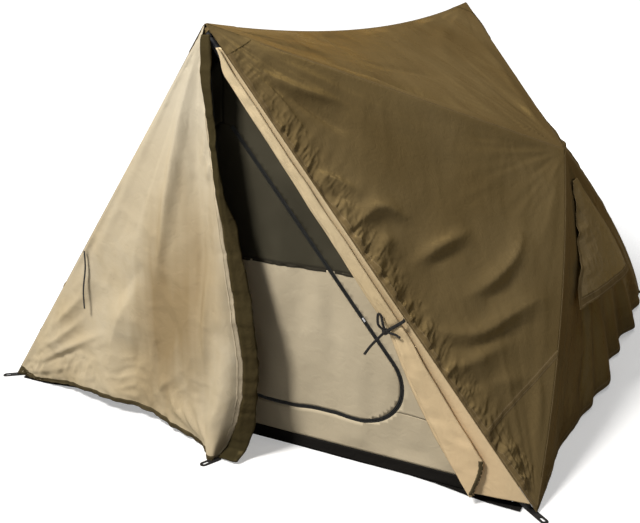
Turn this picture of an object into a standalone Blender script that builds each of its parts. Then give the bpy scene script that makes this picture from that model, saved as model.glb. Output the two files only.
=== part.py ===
"""A two-peak ridge tent: a coated fly sheet over an inner tent, carried by two A-shaped pole frames.

Metres, +Z up, +X to the right of someone who faces the back of the tent from its door, +Y to the back.
The origin is on the ground in the middle of the footprint.
"""

import math

import bmesh
import bpy
from mathutils import Matrix, Vector

# Fly sheet, overall
base_width = 2.02
base_depth = 2.10
peak_height = 1.35
peak_lean = 0.125
ridge_sag = 0.068
shoulder_height = 0.871
shoulder_inset = 0.222
rear_edge_bow = 0.045

# Cloth and seams
cloth = 0.0016
seam_clearance = 0.00035
seam_gap = 0.00075
hem_lift = 0.003
fly_ground_gap = 0.004
touch = 0.0003
roof_steps = 14
front_side_steps = 20
rear_side_steps = 12
rear_wall_steps = 10
wall_steps = 20
door_steps = 18

# Hanging folds of the fly sheet
side_fold = 0.010
main_fold_width = 0.050
main_fold_depth = 0.016
roof_fold = 0.008
hem_fold = 0.026
hem_fold_count = 5.0
door_fold = 0.020
door_hem_rise = 0.045

# Left front door, which hangs down to its peg
door_corner_x = 0.080
door_corner_reach = 0.130
prow_depth = 0.060
prow_place = 0.944
prow_width = 0.055
prow_drop = 0.0033

# Storm strip and zip along that door's free edge
strip_width = 0.030
strip_rise = 0.0065
tape_depth = 0.0021
strip_top_gap = 0.13
strip_foot_gap = 0.03
tape_width = 0.0055
tape_channel = 0.0016

# Right front door, folded back along its edge
bundle_top_gap = 0.13
bundle_foot_gap = 0.03
bundle_top_width = 0.040
bundle_tied_width = 0.076
bundle_foot_width = 0.178
bundle_layer = 0.009
bundle_stations = 6
bundle_corner = 0.055
tie_place = 0.595
tie_width = 0.012
tie_clearance = 0.0024
loose_tie_place = 0.57
loose_tie_width = 0.010
loose_tie_thickness = 0.0018
loose_tie_length = 0.21
loose_tie_stand_off = 0.006

# Vent hood on each end wall
hood_top_height = 0.76
hood_hem_height = 0.36
hood_top_half = 0.035
hood_hem_half = 0.28
hood_hem_out = 0.070
hood_touch = 0.0004
hood_steps = 8

# Peak caps
cap_length = 0.16
cap_clearance = 0.0006
cap_set_back = 0.006

# Pole frames
pole_radius = 0.008
pole_bore = 0.0068
pole_sides = 12
spigot_length = 0.060
spigot_clearance = 0.0003
hub_radius = 0.0108
hub_ball_radius = 0.012
hub_sleeve = 0.075
hub_stop = 0.020
hub_back = 0.020
hub_apex_drop = 0.038
crown_clearance = 0.0002
foot_radius = 0.0125
foot_length = 0.050
foot_plug = 0.024
foot_inset_x = 0.032
foot_inset_y = 0.020

# Side struts that push the shoulders out
strut_radius = 0.0055
strut_tip_radius = 0.0075
strut_foot_radius = 0.011
strut_foot_height = 0.018
strut_foot_inset = 0.045

# Webbing tabs at the ground
tab_width = 0.025
tab_thickness = 0.003
tab_reach = 0.052
tab_slot_width = 0.009
tab_slot_length = 0.020
tab_slot_edge = 0.009

# Inner tent
inner_half_width = 0.93
inner_half_depth = 1.03
inner_height = 1.255
inner_lean = 0.080
inner_ridge_sag = 0.050
tub_height = 0.045
mesh_seam_height = 0.645
inner_steps = 6
inner_wall_out = 0.0011

# Inner door
door_sill_height = 0.165
door_margin = 0.105
door_corner_radius = 0.13
door_top_radius = 0.03
sill_ear = 0.045
hanger_width = 0.014
hanger_thickness = 0.003
hanger_clearance = 0.0006

# Zip sliders
slider_length = 0.014
slider_plate = 0.0016
slider_gap = 0.0004
slider_web = 0.0009
outer_slider_start = 0.060
outer_slider_inset = 0.0016
inner_slider_start = 0.16
inner_slider_reach = 0.0045

olive = (0.170, 0.118, 0.052)
dark_olive = (0.045, 0.036, 0.018)
cream = (0.560, 0.440, 0.280)
mesh_grey = (0.045, 0.045, 0.038)
webbing_black = (0.012, 0.012, 0.012)
tub_black = (0.018, 0.016, 0.014)
pole_grey = (0.45, 0.46, 0.48)
plastic_black = (0.020, 0.020, 0.022)
steel = (0.55, 0.55, 0.56)

half_width = base_width / 2
half_depth = base_depth / 2
sides = {"right": 1, "left": -1}
ends = {"front": -1, "rear": 1}


def clear_scene():
    for item in list(bpy.data.objects):
        bpy.data.objects.remove(item, do_unlink=True)


def material(name, colour, roughness, metallic=0.0):
    mat = bpy.data.materials.new(name)
    mat.use_nodes = True
    shader = mat.node_tree.nodes["Principled BSDF"]
    shader.inputs["Base Color"].default_value = (*colour, 1.0)
    shader.inputs["Roughness"].default_value = roughness
    shader.inputs["Metallic"].default_value = metallic
    return mat


def add_object(name, mesh, colour, roughness=0.5, metallic=0.0, place=None):
    """Link a new object that carries its own material, placed by a matrix."""
    mesh.materials.append(material(name, colour, roughness, metallic))
    item = bpy.data.objects.new(name, mesh)
    bpy.context.collection.objects.link(item)
    if place is not None:
        item.matrix_world = place
    return item


def mesh_from(name, points, faces):
    mesh = bpy.data.meshes.new(name)
    mesh.from_pydata([tuple(p) for p in points], [], faces)
    mesh.update()
    return mesh


def mesh_from_bmesh(name, shape, smooth_angle=None):
    bmesh.ops.recalc_face_normals(shape, faces=shape.faces)
    mesh = bpy.data.meshes.new(name)
    shape.to_mesh(mesh)
    shape.free()
    if smooth_angle is not None:
        mesh.shade_smooth()
        mesh.set_sharp_from_angle(angle=math.radians(smooth_angle))
    return mesh


def thicken(item, thickness=cloth):
    """Give an open sheet its cloth thickness, half on each side."""
    solid = item.modifiers.new("cloth", "SOLIDIFY")
    solid.thickness = thickness
    solid.offset = 0.0
    return item


def cut(item, cutter, operation="DIFFERENCE"):
    """Cut or join a shape with another, which is a guide and not a piece."""
    cutter.hide_render = True
    cutter.display_type = "WIRE"
    step = item.modifiers.new(operation.lower(), "BOOLEAN")
    step.operation = operation
    step.object = cutter
    step.solver = "EXACT"


def smooth_step(low, high, value):
    t = min(1.0, max(0.0, (value - low) / (high - low)))
    return t * t * (3.0 - 2.0 * t)


def frame_matrix(origin, x_axis, y_axis, z_axis):
    turn = Matrix((x_axis, y_axis, z_axis)).transposed().to_4x4()
    return Matrix.Translation(origin) @ turn


def along(origin, direction):
    """A placing whose Z runs along a direction."""
    turn = direction.to_track_quat("Z", "Y").to_matrix().to_4x4()
    return Matrix.Translation(origin) @ turn


# Named points of the fly sheet
points = {
    "front_peak": Vector((0.0, -half_depth - peak_lean, peak_height)),
    "rear_peak": Vector((0.0, half_depth + peak_lean, peak_height)),
    "door_corner": Vector((door_corner_x, -half_depth - door_corner_reach, fly_ground_gap)),
}
for side_name, side in sides.items():
    points[side_name + "_shoulder"] = Vector((side * (half_width - shoulder_inset), 0.0, shoulder_height))
    for end_name, end in ends.items():
        corner_point = Vector((side * half_width, end * half_depth, fly_ground_gap))
        points[f"{end_name}_{side_name}_corner"] = corner_point

# Corners of each panel of the fly; the right door is folded away, but its cloth starts in that plane
panel_corners = {
    "fly_rear_wall": ("rear_peak", "rear_left_corner", "rear_right_corner"),
    "front_door_left": ("front_peak", "front_left_corner", "door_corner"),
    "front_door_right": ("front_peak", "front_right_corner", "door_corner"),
}
for side_name in sides:
    shoulder = side_name + "_shoulder"
    panel_corners["fly_roof_" + side_name] = ("front_peak", "rear_peak", shoulder)
    low_corners = (f"front_{side_name}_corner", f"rear_{side_name}_corner")
    panel_corners["fly_end_" + side_name] = (shoulder, *low_corners)
    for end_name in ends:
        side_corners = (end_name + "_peak", shoulder, f"{end_name}_{side_name}_corner")
        panel_corners[f"fly_side_{end_name}_{side_name}"] = side_corners

# Ridges and hollows pressed into the front side panels: shares of the peak and of the shoulder at each
# end, and a height and half width as shares of the main fold's
front_side_folds = (
    ((0.93, 0.03), (0.70, 0.20), 0.8, 0.8),
    ((0.76, 0.02), (0.58, 0.10), 0.8, 0.8),
    ((0.55, 0.06), (0.43, 0.20), 1.1, 1.2),
    ((0.41, 0.13), (0.30, 0.36), 0.9, 0.8),
    ((0.28, 0.21), (0.19, 0.40), 1.0, 1.0),
    ((0.19, 0.40), (0.14, 0.58), 1.0, 1.0),
    ((0.23, 0.24), (0.11, 0.46), -1.0, 1.0),
    ((0.34, 0.03), (0.19, 0.24), 1.0, 1.0),
    ((0.19, 0.24), (0.06, 0.44), 1.0, 1.0),
    ((0.22, 0.13), (0.05, 0.40), -1.1, 1.0),
    ((0.33, 0.03), (0.23, 0.04), -1.2, 1.1),
)

# How far the middle of a curved edge stands off the straight line between its ends
bows = {
    frozenset(("front_peak", "rear_peak")): Vector((0.0, 0.0, -ridge_sag)),
    frozenset(("right_shoulder", "rear_right_corner")): Vector((rear_edge_bow, 0.0, 0.0)),
    frozenset(("left_shoulder", "rear_left_corner")): Vector((-rear_edge_bow, 0.0, 0.0)),
}


def outward_order(names):
    """The three corner names, turned so that the sheet faces out of the tent."""
    a, b, c = (points[name] for name in names)
    normal = (b - a).cross(c - a).normalized()
    inside = Vector((0.0, 0.0, peak_height / 3))
    if normal.dot((a + b + c) / 3 - inside) < 0:
        return (names[0], names[2], names[1]), -normal
    return tuple(names), normal


def edge_inset(first, second):
    """How far a panel stops short of an edge, so that two panels that meet at an angle stay clear."""
    if points[first].z < 0.01 and points[second].z < 0.01:
        return hem_lift
    normals = [
        outward_order(corners)[1]
        for corners in panel_corners.values()
        if first in corners and second in corners
    ]
    if len(normals) < 2:
        return seam_clearance
    return seam_clearance + cloth / 2 * math.tan(normals[0].angle(normals[1]) / 2)


def nested_centre(point_name, radius):
    """Centre of a ball tucked under a point of the fly, clear of every panel that meets there."""
    normals = [outward_order(corners)[1] for corners in panel_corners.values() if point_name in corners]
    out = Vector((0.0, 0.0, 0.0))
    for normal in normals:
        out += normal
    out.normalize()
    reach = radius + cloth / 2 + touch
    return points[point_name] - out * max(reach / out.dot(normal) for normal in normals)


def sheet_point(names, weights):
    """A point of a three-cornered sheet whose edges may bow."""
    place = Vector((0.0, 0.0, 0.0))
    for name, weight in zip(names, weights):
        place += points[name] * weight
    for i in range(3):
        j = (i + 1) % 3
        bow = bows.get(frozenset((names[i], names[j])))
        if bow is not None:
            place += bow * (4.0 * weights[i] * weights[j])
    return place


def inset_weights(names, weights):
    """Draw corner weights in, so that each edge stops short of its seam or of the ground."""
    corners = [points[name] for name in names]
    double_area = (corners[1] - corners[0]).cross(corners[2] - corners[0]).length
    floors = []
    for i in range(3):
        j, k = (i + 1) % 3, (i + 2) % 3
        height = double_area / (corners[k] - corners[j]).length
        floors.append(edge_inset(names[j], names[k]) / height)
    room = 1.0 - sum(floors)
    return [floor + weight * room for floor, weight in zip(floors, weights)]


def triangle_grid(steps):
    """Corner weights of each grid point, row by row from the first corner, and the faces."""
    weights = []
    for i in range(steps + 1):
        for j in range(i + 1):
            weights.append(((steps - i) / steps, (i - j) / steps, j / steps))
    faces = []
    for i in range(steps):
        top = i * (i + 1) // 2
        low = (i + 1) * (i + 2) // 2
        for j in range(i + 1):
            faces.append((top + j, low + j, low + j + 1))
            if j < i:
                faces.append((top + j, low + j + 1, top + j + 1))
    return weights, faces


def fly_sheet(name, folds, colour, steps):
    """A closed cloth panel between three named points of the fly."""
    names, normal = outward_order(panel_corners[name])
    grid, faces = triangle_grid(steps)
    placed = []
    for weights in grid:
        drawn = inset_weights(names, weights)
        named = dict(zip(names, drawn))
        placed.append(sheet_point(names, drawn) + normal * folds(named))
    return thicken(add_object(name, mesh_from(name, placed, faces), colour, 0.35))


def fan_folds(apex, others, count, depth):
    """Tension folds that fan out from one corner and die away at every seam."""

    def folds(weights):
        a, b = weights[others[0]], weights[others[1]]
        share = a / max(a + b, 1e-6)
        fade = 27.0 * weights[apex] * a * b
        return depth * fade * (math.sin(2.0 * math.pi * count * share + 0.6) - 0.5)

    return folds


def pressed_folds(corners, presses, others):
    """Long ridges and hollows between points given as shares of the panel's first two corners."""
    ends_and_sizes = []
    for start, end, height, width in presses:
        runs = [
            sheet_point(corners, (first, second, 1.0 - first - second)) for first, second in (start, end)
        ]
        ends_and_sizes.append((runs[0], runs[1] - runs[0], height * main_fold_depth, width * main_fold_width))

    def folds(weights):
        shares = [weights[name] for name in corners]
        place = sheet_point(corners, shares)
        rise = 0.0
        for start, run, height, width in ends_and_sizes:
            t = min(1.0, max(0.0, (place - start).dot(run) / run.length_squared))
            distance = (place - start - run * t).length
            rise += height * math.exp(-((distance / width) ** 2))
        fade = 1.0 - smooth_step(0.82, 0.90, shares[0])
        for share in shares:
            fade *= smooth_step(0.0, 0.10, share)
        return rise * fade + others(weights)

    return folds


def hem_folds(front_corner, rear_corner):
    """Vertical folds that open towards the hem, deepest in the rear half."""

    def folds(weights):
        low = weights[front_corner] + weights[rear_corner]
        share = weights[rear_corner] / max(low, 1e-6)
        strength = smooth_step(0.25, 0.6, share) * (1.0 - smooth_step(0.86, 1.0, share))
        wave = 0.5 - 0.5 * math.cos(2.0 * math.pi * hem_fold_count * share)
        return hem_fold * strength * wave * low ** 2

    return folds


def left_door_folds(weights):
    """Soft hanging folds, and the prow where the hem runs out to its peg."""
    free, hinge, top = weights["door_corner"], weights["front_left_corner"], weights["front_peak"]
    low = free + hinge
    share = free / max(low, 1e-6)
    fade = smooth_step(0.0, 0.12, share) * (1.0 - smooth_step(0.94, 1.0, share))
    waves = math.sin(2.0 * math.pi * 2.5 * share + 0.9)
    prow = math.exp(-(((share - prow_place) / prow_width) ** 2)) * (1.0 - smooth_step(0.97, 1.0, share))
    return door_fold * fade * waves * low ** 1.5 * 0.5 + prow_depth * prow * low ** 2 * (1.0 - 0.3 * top)


def rear_folds(weights):
    low = weights["rear_left_corner"] + weights["rear_right_corner"]
    share = weights["rear_right_corner"] / max(low, 1e-6)
    fade = 16.0 * (share * (1.0 - share)) ** 2
    return 0.5 * side_fold * fade * low ** 2 * math.sin(2.0 * math.pi * 3.0 * share)


def build_fly():
    for side_name in sides:
        shoulder = side_name + "_shoulder"
        front_corner = f"front_{side_name}_corner"
        rear_corner = f"rear_{side_name}_corner"
        roof = fan_folds("front_peak", ("rear_peak", shoulder), 2.0, roof_fold)
        fly_sheet("fly_roof_" + side_name, roof, olive, roof_steps)
        front_fan = fan_folds("front_peak", (shoulder, front_corner), 2.5, 0.5 * side_fold)
        front = pressed_folds(("front_peak", shoulder, front_corner), front_side_folds, front_fan)
        fly_sheet("fly_side_front_" + side_name, front, olive, front_side_steps)
        rear_fan = fan_folds("rear_peak", (shoulder, rear_corner), 2.5, side_fold)
        fly_sheet("fly_side_rear_" + side_name, rear_fan, olive, rear_side_steps)
        hanging = hem_folds(front_corner, rear_corner)
        fly_sheet("fly_end_" + side_name, hanging, olive, wall_steps)
    fly_sheet("fly_rear_wall", rear_folds, olive, rear_wall_steps)


def build_left_door():
    names, normal = outward_order(panel_corners["front_door_left"])
    grid, faces = triangle_grid(door_steps)
    placed = []
    for weights in grid:
        drawn = inset_weights(names, weights)
        named = dict(zip(names, drawn))
        low = named["door_corner"] + named["front_left_corner"]
        share = named["door_corner"] / max(low, 1e-6)
        arc = math.sin(math.pi * min(1.0, share / prow_place)) ** 2
        drop = math.exp(-(((share - prow_place) / prow_width) ** 2)) * smooth_step(0.9, 1.0, low)
        rise = door_hem_rise * arc * smooth_step(0.75, 1.0, low) - prow_drop * drop
        placed.append(sheet_point(names, drawn) + normal * left_door_folds(named) + Vector((0, 0, rise)))
    thicken(add_object("front_door_left", mesh_from("front_door_left", placed, faces), cream, 0.35))


def swept_sheet(name, profiles, colour, thickness=cloth, roughness=0.5):
    """A strip through rows of points, one row for each station."""
    count = len(profiles[0])
    placed = [p for row in profiles for p in row]
    faces = []
    for i in range(len(profiles) - 1):
        for j in range(count - 1):
            a = i * count + j
            faces.append((a, a + 1, a + count + 1, a + count))
    return thicken(add_object(name, mesh_from(name, placed, faces), colour, roughness), thickness)


def door_edge_axes():
    """Top, foot and directions of the left door's free edge: along it, across it and out of it."""
    top, foot = points["front_peak"], points["door_corner"]
    down = (foot - top).normalized()
    out = outward_order(panel_corners["front_door_left"])[1]
    across = down.cross(out).normalized()
    if across.x < 0:
        across = -across
    return top, foot, down, across, out


def build_storm_strip():
    top, foot, down, across, out = door_edge_axes()
    length = (foot - top).length
    shape = (
        (touch, 0.7 * cloth),
        (0.10 * strip_width, 0.7 * strip_rise),
        (0.20 * strip_width, strip_rise),
        (0.60 * strip_width, 1.15 * strip_rise),
        (strip_width, strip_rise),
    )
    rows = []
    for i in range(9):
        reach = strip_top_gap + (length - strip_top_gap - strip_foot_gap) * i / 8
        rows.append([top + down * reach + across * a + out * h for a, h in shape])
    swept_sheet("door_storm_strip", rows, dark_olive)


def build_outer_zip():
    top, foot, down, across, out = door_edge_axes()
    length = (foot - top).length
    run = length - strip_top_gap - strip_foot_gap
    tape = bmesh.new()
    bmesh.ops.create_cube(tape, size=1.0)
    bmesh.ops.scale(tape, vec=(tape_width, cloth, run), verts=tape.verts)
    middle = top + down * (strip_top_gap + run / 2) + across * (touch + tape_width / 2) - out * tape_depth
    place = frame_matrix(middle, across, out, across.cross(out))
    add_object("door_zip_tape", mesh_from_bmesh("door_zip_tape", tape), webbing_black, 0.7, place=place)
    depth = 2.0 * (cloth / 2 + slider_gap + slider_plate)
    width = tape_width - outer_slider_inset + slider_gap + slider_plate
    body = slider_body(width, depth, cloth + 2 * slider_gap, slider_plate)
    edge = across * (touch + outer_slider_inset + width / 2)
    middle = foot - down * (strip_foot_gap + outer_slider_start) + edge - out * tape_depth
    place = frame_matrix(middle, across, out, across.cross(out))
    add_object("door_zip_slider", mesh_from_bmesh("door_zip_slider", body), steel, 0.3, 0.9, place)


def slider_body(width, depth, slot, web):
    """A zip slider: two plates and the web that joins them beside the tape."""
    outline = [
        (-width / 2, -depth / 2), (width / 2, -depth / 2), (width / 2, depth / 2), (-width / 2, depth / 2),
        (-width / 2, slot / 2), (width / 2 - web, slot / 2), (width / 2 - web, -slot / 2),
        (-width / 2, -slot / 2),
    ]
    return prism(outline, slider_length)


def prism(outline, length):
    """A closed prism with a flat outline in X and Y, centred along Z."""
    shape = bmesh.new()
    ring = [shape.verts.new((x, y, -length / 2)) for x, y in outline]
    face = shape.faces.new(ring)
    extruded = bmesh.ops.extrude_face_region(shape, geom=[face])["geom"]
    lifted = [v for v in extruded if isinstance(v, bmesh.types.BMVert)]
    bmesh.ops.translate(shape, verts=lifted, vec=(0.0, 0.0, length))
    return shape


def bundle_axes():
    """Top and foot of the right front edge, and three directions there: down it, level into the door
    opening, and out of the door's plane."""
    top, foot = points["front_peak"], points["front_right_corner"]
    down = (foot - top).normalized()
    level = (points["door_corner"] - foot).normalized()
    out = down.cross(level).normalized()
    if out.y > 0:
        out = -out
    return top, foot, down, level, out


def tied_reach():
    """Distance down the edge of the level section whose inner end lies under the tie."""
    top, foot, down, level, _ = bundle_axes()
    return (foot - top).length * tie_place - level.dot(down) * bundle_tied_width


def bundle_width(reach):
    """Level width of the folded door at a distance down its edge: drawn in at the tie, spread at its foot."""
    top, foot = bundle_axes()[:2]
    tied, end = tied_reach(), (foot - top).length - bundle_foot_gap
    if reach < tied:
        return bundle_top_width + (bundle_tied_width - bundle_top_width) * reach / tied
    spread = math.sin(0.5 * math.pi * (reach - tied) / (end - tied))
    return bundle_tied_width + (bundle_foot_width - bundle_tied_width) * spread


def bundle_seam(level, down):
    """Level distance from the edge to where the folded door starts."""
    return edge_inset("front_peak", "front_right_corner") / (level - down * level.dot(down)).length


def build_right_door():
    """The door folded in three layers, the front one with a rounded lower corner."""
    top, foot, down, level, out = bundle_axes()
    length = (foot - top).length
    run = length - bundle_top_gap - bundle_foot_gap
    tied = (tied_reach() - bundle_top_gap) / run
    shares = [i / bundle_stations * tied for i in range(bundle_stations)]
    shares += [tied + i / bundle_stations * (1.0 - bundle_corner / run - tied) for i in range(bundle_stations + 1)]
    shares += [1.0 - bundle_corner / run * left for left in (0.6, 0.3, 0.1, 0.0)]
    seam = bundle_seam(level, down)
    rows = []
    for share in shares:
        reach = bundle_top_gap + run * share
        width = bundle_width(reach)
        start = top + down * reach + level * seam
        into = max(0.0, 1.0 - (1.0 - share) * run / bundle_corner)
        turn = 0.26 + 0.40 * (1.0 - math.sqrt(1.0 - into * into))
        shape = (
            (0.00, 0.0), (0.45, 0.0), (0.90, 0.0), (0.97, 0.15), (1.00, 0.5), (0.97, 0.85), (0.90, 1.0),
            (0.49 + turn / 2, 1.05), (turn + 0.08, 1.05), (turn + 0.02, 1.2), (turn, 1.5),
            (turn + 0.02, 1.8), (turn + 0.08, 1.95), (0.45 + turn / 2, 2.0), (0.82, 2.05),
        )
        rows.append([start + level * (a * width) + out * (h * bundle_layer) for a, h in shape])
    swept_sheet("front_door_right", rows, cream, roughness=0.35)


def build_door_tie():
    top, foot, down, level, out = bundle_axes()
    inward = (level - down * level.dot(down)).normalized()
    reach = (foot - top).length * tie_place
    widest = bundle_width(tied_reach() + tie_width)
    width = (widest + bundle_seam(level, down)) * level.dot(inward)
    high = 2.05 * bundle_layer + tie_clearance
    low = -tie_clearance
    turn = tie_clearance + 0.001
    shape = (
        (0.004, low), (0.5 * width, low), (width, low), (width + turn, 0.3 * high),
        (width + turn, 0.7 * high), (width - 0.004, high), (0.5 * width, high), (0.004, high),
    )
    rows = []
    for shift in (-tie_width / 2, tie_width / 2):
        middle = top + down * (reach + shift)
        rows.append([middle + inward * a + out * h for a, h in shape])
    swept_sheet("door_tie", rows, webbing_black)


def build_loose_tie():
    """The tie of the closed left door, sewn into its hinge seam and hanging down outside it."""
    top, foot = points["front_peak"], points["front_left_corner"]
    down = (foot - top).normalized()
    out = outward_order(panel_corners["front_door_left"])[1]
    inward = (points["door_corner"] - foot).normalized()
    start = top + down * ((foot - top).length * loose_tie_place) + inward * loose_tie_width
    rows = []
    for i in range(9):
        share = i / 8
        fall = Vector((0.0, 0.0, -loose_tie_length * share))
        sway = inward * (0.022 * math.sin(2.2 * math.pi * share) * share + 0.012 * share)
        stand_off = loose_tie_stand_off * math.sqrt(0.03 + share)
        lift = out * (cloth / 2 + loose_tie_thickness / 2 + touch + stand_off)
        middle = start + fall + sway + lift
        rows.append([middle - inward * (loose_tie_width / 2), middle + inward * (loose_tie_width / 2)])
    swept_sheet("loose_tie", rows, webbing_black, loose_tie_thickness)


def build_vent_hood(side_name):
    """A hood that hangs from a short seam below the shoulder and stands off the end wall at its hem."""
    side = sides[side_name]
    names = panel_corners["fly_end_" + side_name]
    order, normal = outward_order(names)

    def wall_place(y, z):
        shoulder = z / shoulder_height
        rest = 1.0 - shoulder
        rear = (rest + y / half_depth) / 2.0
        weights = dict(zip(names, (shoulder, rest - rear, rear)))
        return sheet_point(order, [weights[name] for name in order])

    rows = []
    for i in range(hood_steps + 1):
        share = i / hood_steps
        height = hood_top_height + (hood_hem_height - hood_top_height) * share
        half = hood_top_half + (hood_hem_half - hood_top_half) * share
        row = []
        for j in range(hood_steps + 1):
            across = 2.0 * j / hood_steps - 1.0
            wall = wall_place(half * across, height)
            lift = cloth + hood_touch + hood_hem_out * share * (0.75 + 0.25 * across)
            crown = 0.012 * share * (1.0 - across * across)
            row.append(wall + normal * (lift + crown))
        rows.append(row)
    if side > 0:
        rows.reverse()
    swept_sheet("vent_hood_" + side_name, rows, olive, roughness=0.35)


def shared_lift(first, second, lift):
    """The shift that lifts a point clear of two planes by the same distance."""
    return (first + second) * (lift / (1.0 + first.dot(second)))


def build_peak_cap(end_name):
    """A sewn cap over a peak: four facets that follow the roof and side panels."""
    end = ends[end_name]
    peak = points[end_name + "_peak"]
    ridge = (points["rear_peak"] - points["front_peak"]).normalized() * -end
    sag = 4.0 * ridge_sag * cap_length / (points["rear_peak"] - points["front_peak"]).length
    lift = cloth + cap_clearance
    roof_out = {side: outward_order(panel_corners["fly_roof_" + side])[1] for side in sides}
    side_out = {side: outward_order(panel_corners[f"fly_side_{end_name}_{side}"])[1] for side in sides}
    rise = lift / roof_out["right"].z
    back = cap_set_back
    placed = [
        peak + ridge * back + Vector((0.0, 0.0, rise)),
        peak + ridge * cap_length + Vector((0.0, 0.0, rise - 0.9 * sag)),
    ]
    faces = []
    for side_name, side in sides.items():
        hip = (points[side_name + "_shoulder"] - peak).normalized()
        edge = (points[f"{end_name}_{side_name}_corner"] - peak).normalized()
        inward = (hip - edge * hip.dot(edge)).normalized()
        over_hip = shared_lift(roof_out[side_name], side_out[side_name], lift)
        over_side = inward * back + side_out[side_name] * lift
        first = len(placed)
        placed += [
            peak + hip * (2.0 * back) + over_hip,
            peak + hip * cap_length + over_hip,
            peak + edge * (2.0 * back) + over_side,
            peak + edge * (0.7 * cap_length) + over_side,
        ]
        panels = [(0, first, first + 1, 1), (first, first + 2, first + 3, first + 1)]
        faces += panels if side * end < 0 else [tuple(reversed(face)) for face in panels]
    name = "peak_cap_" + end_name
    thicken(add_object(name, mesh_from(name, placed, faces), dark_olive, 0.4))


def lathe(profile, segments):
    """A turned shape about Z from radius and height pairs that start and end on the axis."""
    shape = bmesh.new()
    rings = []
    for radius, height in profile:
        if radius == 0.0:
            rings.append([shape.verts.new((0.0, 0.0, height))])
        else:
            rings.append([
                shape.verts.new((
                    radius * math.cos(2.0 * math.pi * k / segments),
                    radius * math.sin(2.0 * math.pi * k / segments),
                    height,
                ))
                for k in range(segments)
            ])
    for first, second in zip(rings, rings[1:]):
        for k in range(segments):
            n = (k + 1) % segments
            if len(first) == 1:
                shape.faces.new((first[0], second[k], second[n]))
            elif len(second) == 1:
                shape.faces.new((first[k], first[n], second[0]))
            else:
                shape.faces.new((first[k], first[n], second[n], second[k]))
    return shape


def turned(name, profile, place, colour, roughness, metallic=0.0, segments=pole_sides):
    mesh = mesh_from_bmesh(name, lathe(profile, segments), 40)
    return add_object(name, mesh, colour, roughness, metallic, place)


def leg_line(side, end):
    """Apex of a pole frame, and where one leg's axis meets the ground."""
    apex = Vector((0.0, end * (half_depth + peak_lean - hub_back), peak_height - hub_apex_drop))
    foot = Vector((side * (half_width - foot_inset_x), end * (half_depth - foot_inset_y), 0.0))
    return apex, foot


def build_leg(side_name, end_name):
    """One leg: an upper and a lower tube that plug together, and a rubber foot."""
    side, end = sides[side_name], ends[end_name]
    apex, foot = leg_line(side, end)
    down = (foot - apex).normalized()
    length = (foot - apex).length
    tube_start = hub_stop + 0.0005
    tube_end = length - foot_plug
    middle = 0.5 * (tube_start + tube_end)
    label = f"{end_name}_{side_name}"
    upper = [
        (0.0, tube_start), (pole_radius, tube_start), (pole_radius, middle),
        (pole_bore - spigot_clearance, middle), (pole_bore - spigot_clearance, middle + spigot_length),
        (0.0, middle + spigot_length),
    ]
    turned("pole_upper_" + label, upper, along(apex, down), pole_grey, 0.35, 0.9)
    lower_start = middle + touch
    socket_end = middle + spigot_length + 0.005
    lower = [
        (0.0, socket_end), (pole_bore, socket_end), (pole_bore, lower_start), (pole_radius, lower_start),
        (pole_radius, tube_end), (0.0, tube_end),
    ]
    turned("pole_lower_" + label, lower, along(apex, down), pole_grey, 0.35, 0.9)
    build_pole_foot(label, apex, foot, down, length)


def build_pole_foot(label, apex, foot, down, length):
    bore = pole_radius + spigot_clearance
    socket_bottom = length - foot_plug + touch
    profile = [
        (0.0, socket_bottom), (bore, socket_bottom), (bore, length - foot_length),
        (foot_radius - 0.002, length - foot_length), (foot_radius, length - foot_length + 0.006),
        (foot_radius, length + foot_radius * 2), (0.0, length + foot_radius * 2),
    ]
    shape = lathe(profile, pole_sides)
    place = along(apex, down)
    bmesh.ops.transform(shape, matrix=place, verts=shape.verts)
    add_foot("pole_foot_" + label, shape, foot, tab_thickness + touch)


def add_foot(name, shape, foot, level):
    """A foot cut off level at a height above the ground, with its origin under it."""
    parts = shape.verts[:] + shape.edges[:] + shape.faces[:]
    bmesh.ops.bisect_plane(shape, geom=parts, plane_co=(0, 0, level), plane_no=(0, 0, 1), clear_inner=True)
    bmesh.ops.contextual_create(shape, geom=[edge for edge in shape.edges if edge.is_boundary])
    bmesh.ops.translate(shape, verts=shape.verts, vec=-foot)
    mesh = mesh_from_bmesh(name, shape, 40)
    add_object(name, mesh, plastic_black, 0.6, place=Matrix.Translation(foot))


def crown_centre_height(end_name, place_y):
    """Height at which the hub's round crown just clears the roof and the side panels at the peak."""
    peak = points[end_name + "_peak"]
    other_peak = points["rear_peak" if end_name == "front" else "front_peak"]
    ridge = other_peak - peak - Vector((0.0, 0.0, 4.0 * ridge_sag))
    hip = points["right_shoulder"] - peak
    edge = points[end_name + "_right_corner"] - peak
    reach = hub_ball_radius + cloth / 2 + crown_clearance
    heights = []
    for side_line in (ridge, edge):
        normal = side_line.cross(hip).normalized()
        if normal.z < 0:
            normal.negate()
        heights.append(peak.z - (normal.y * (place_y - peak.y) + reach) / normal.z)
    return min(heights)


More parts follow.
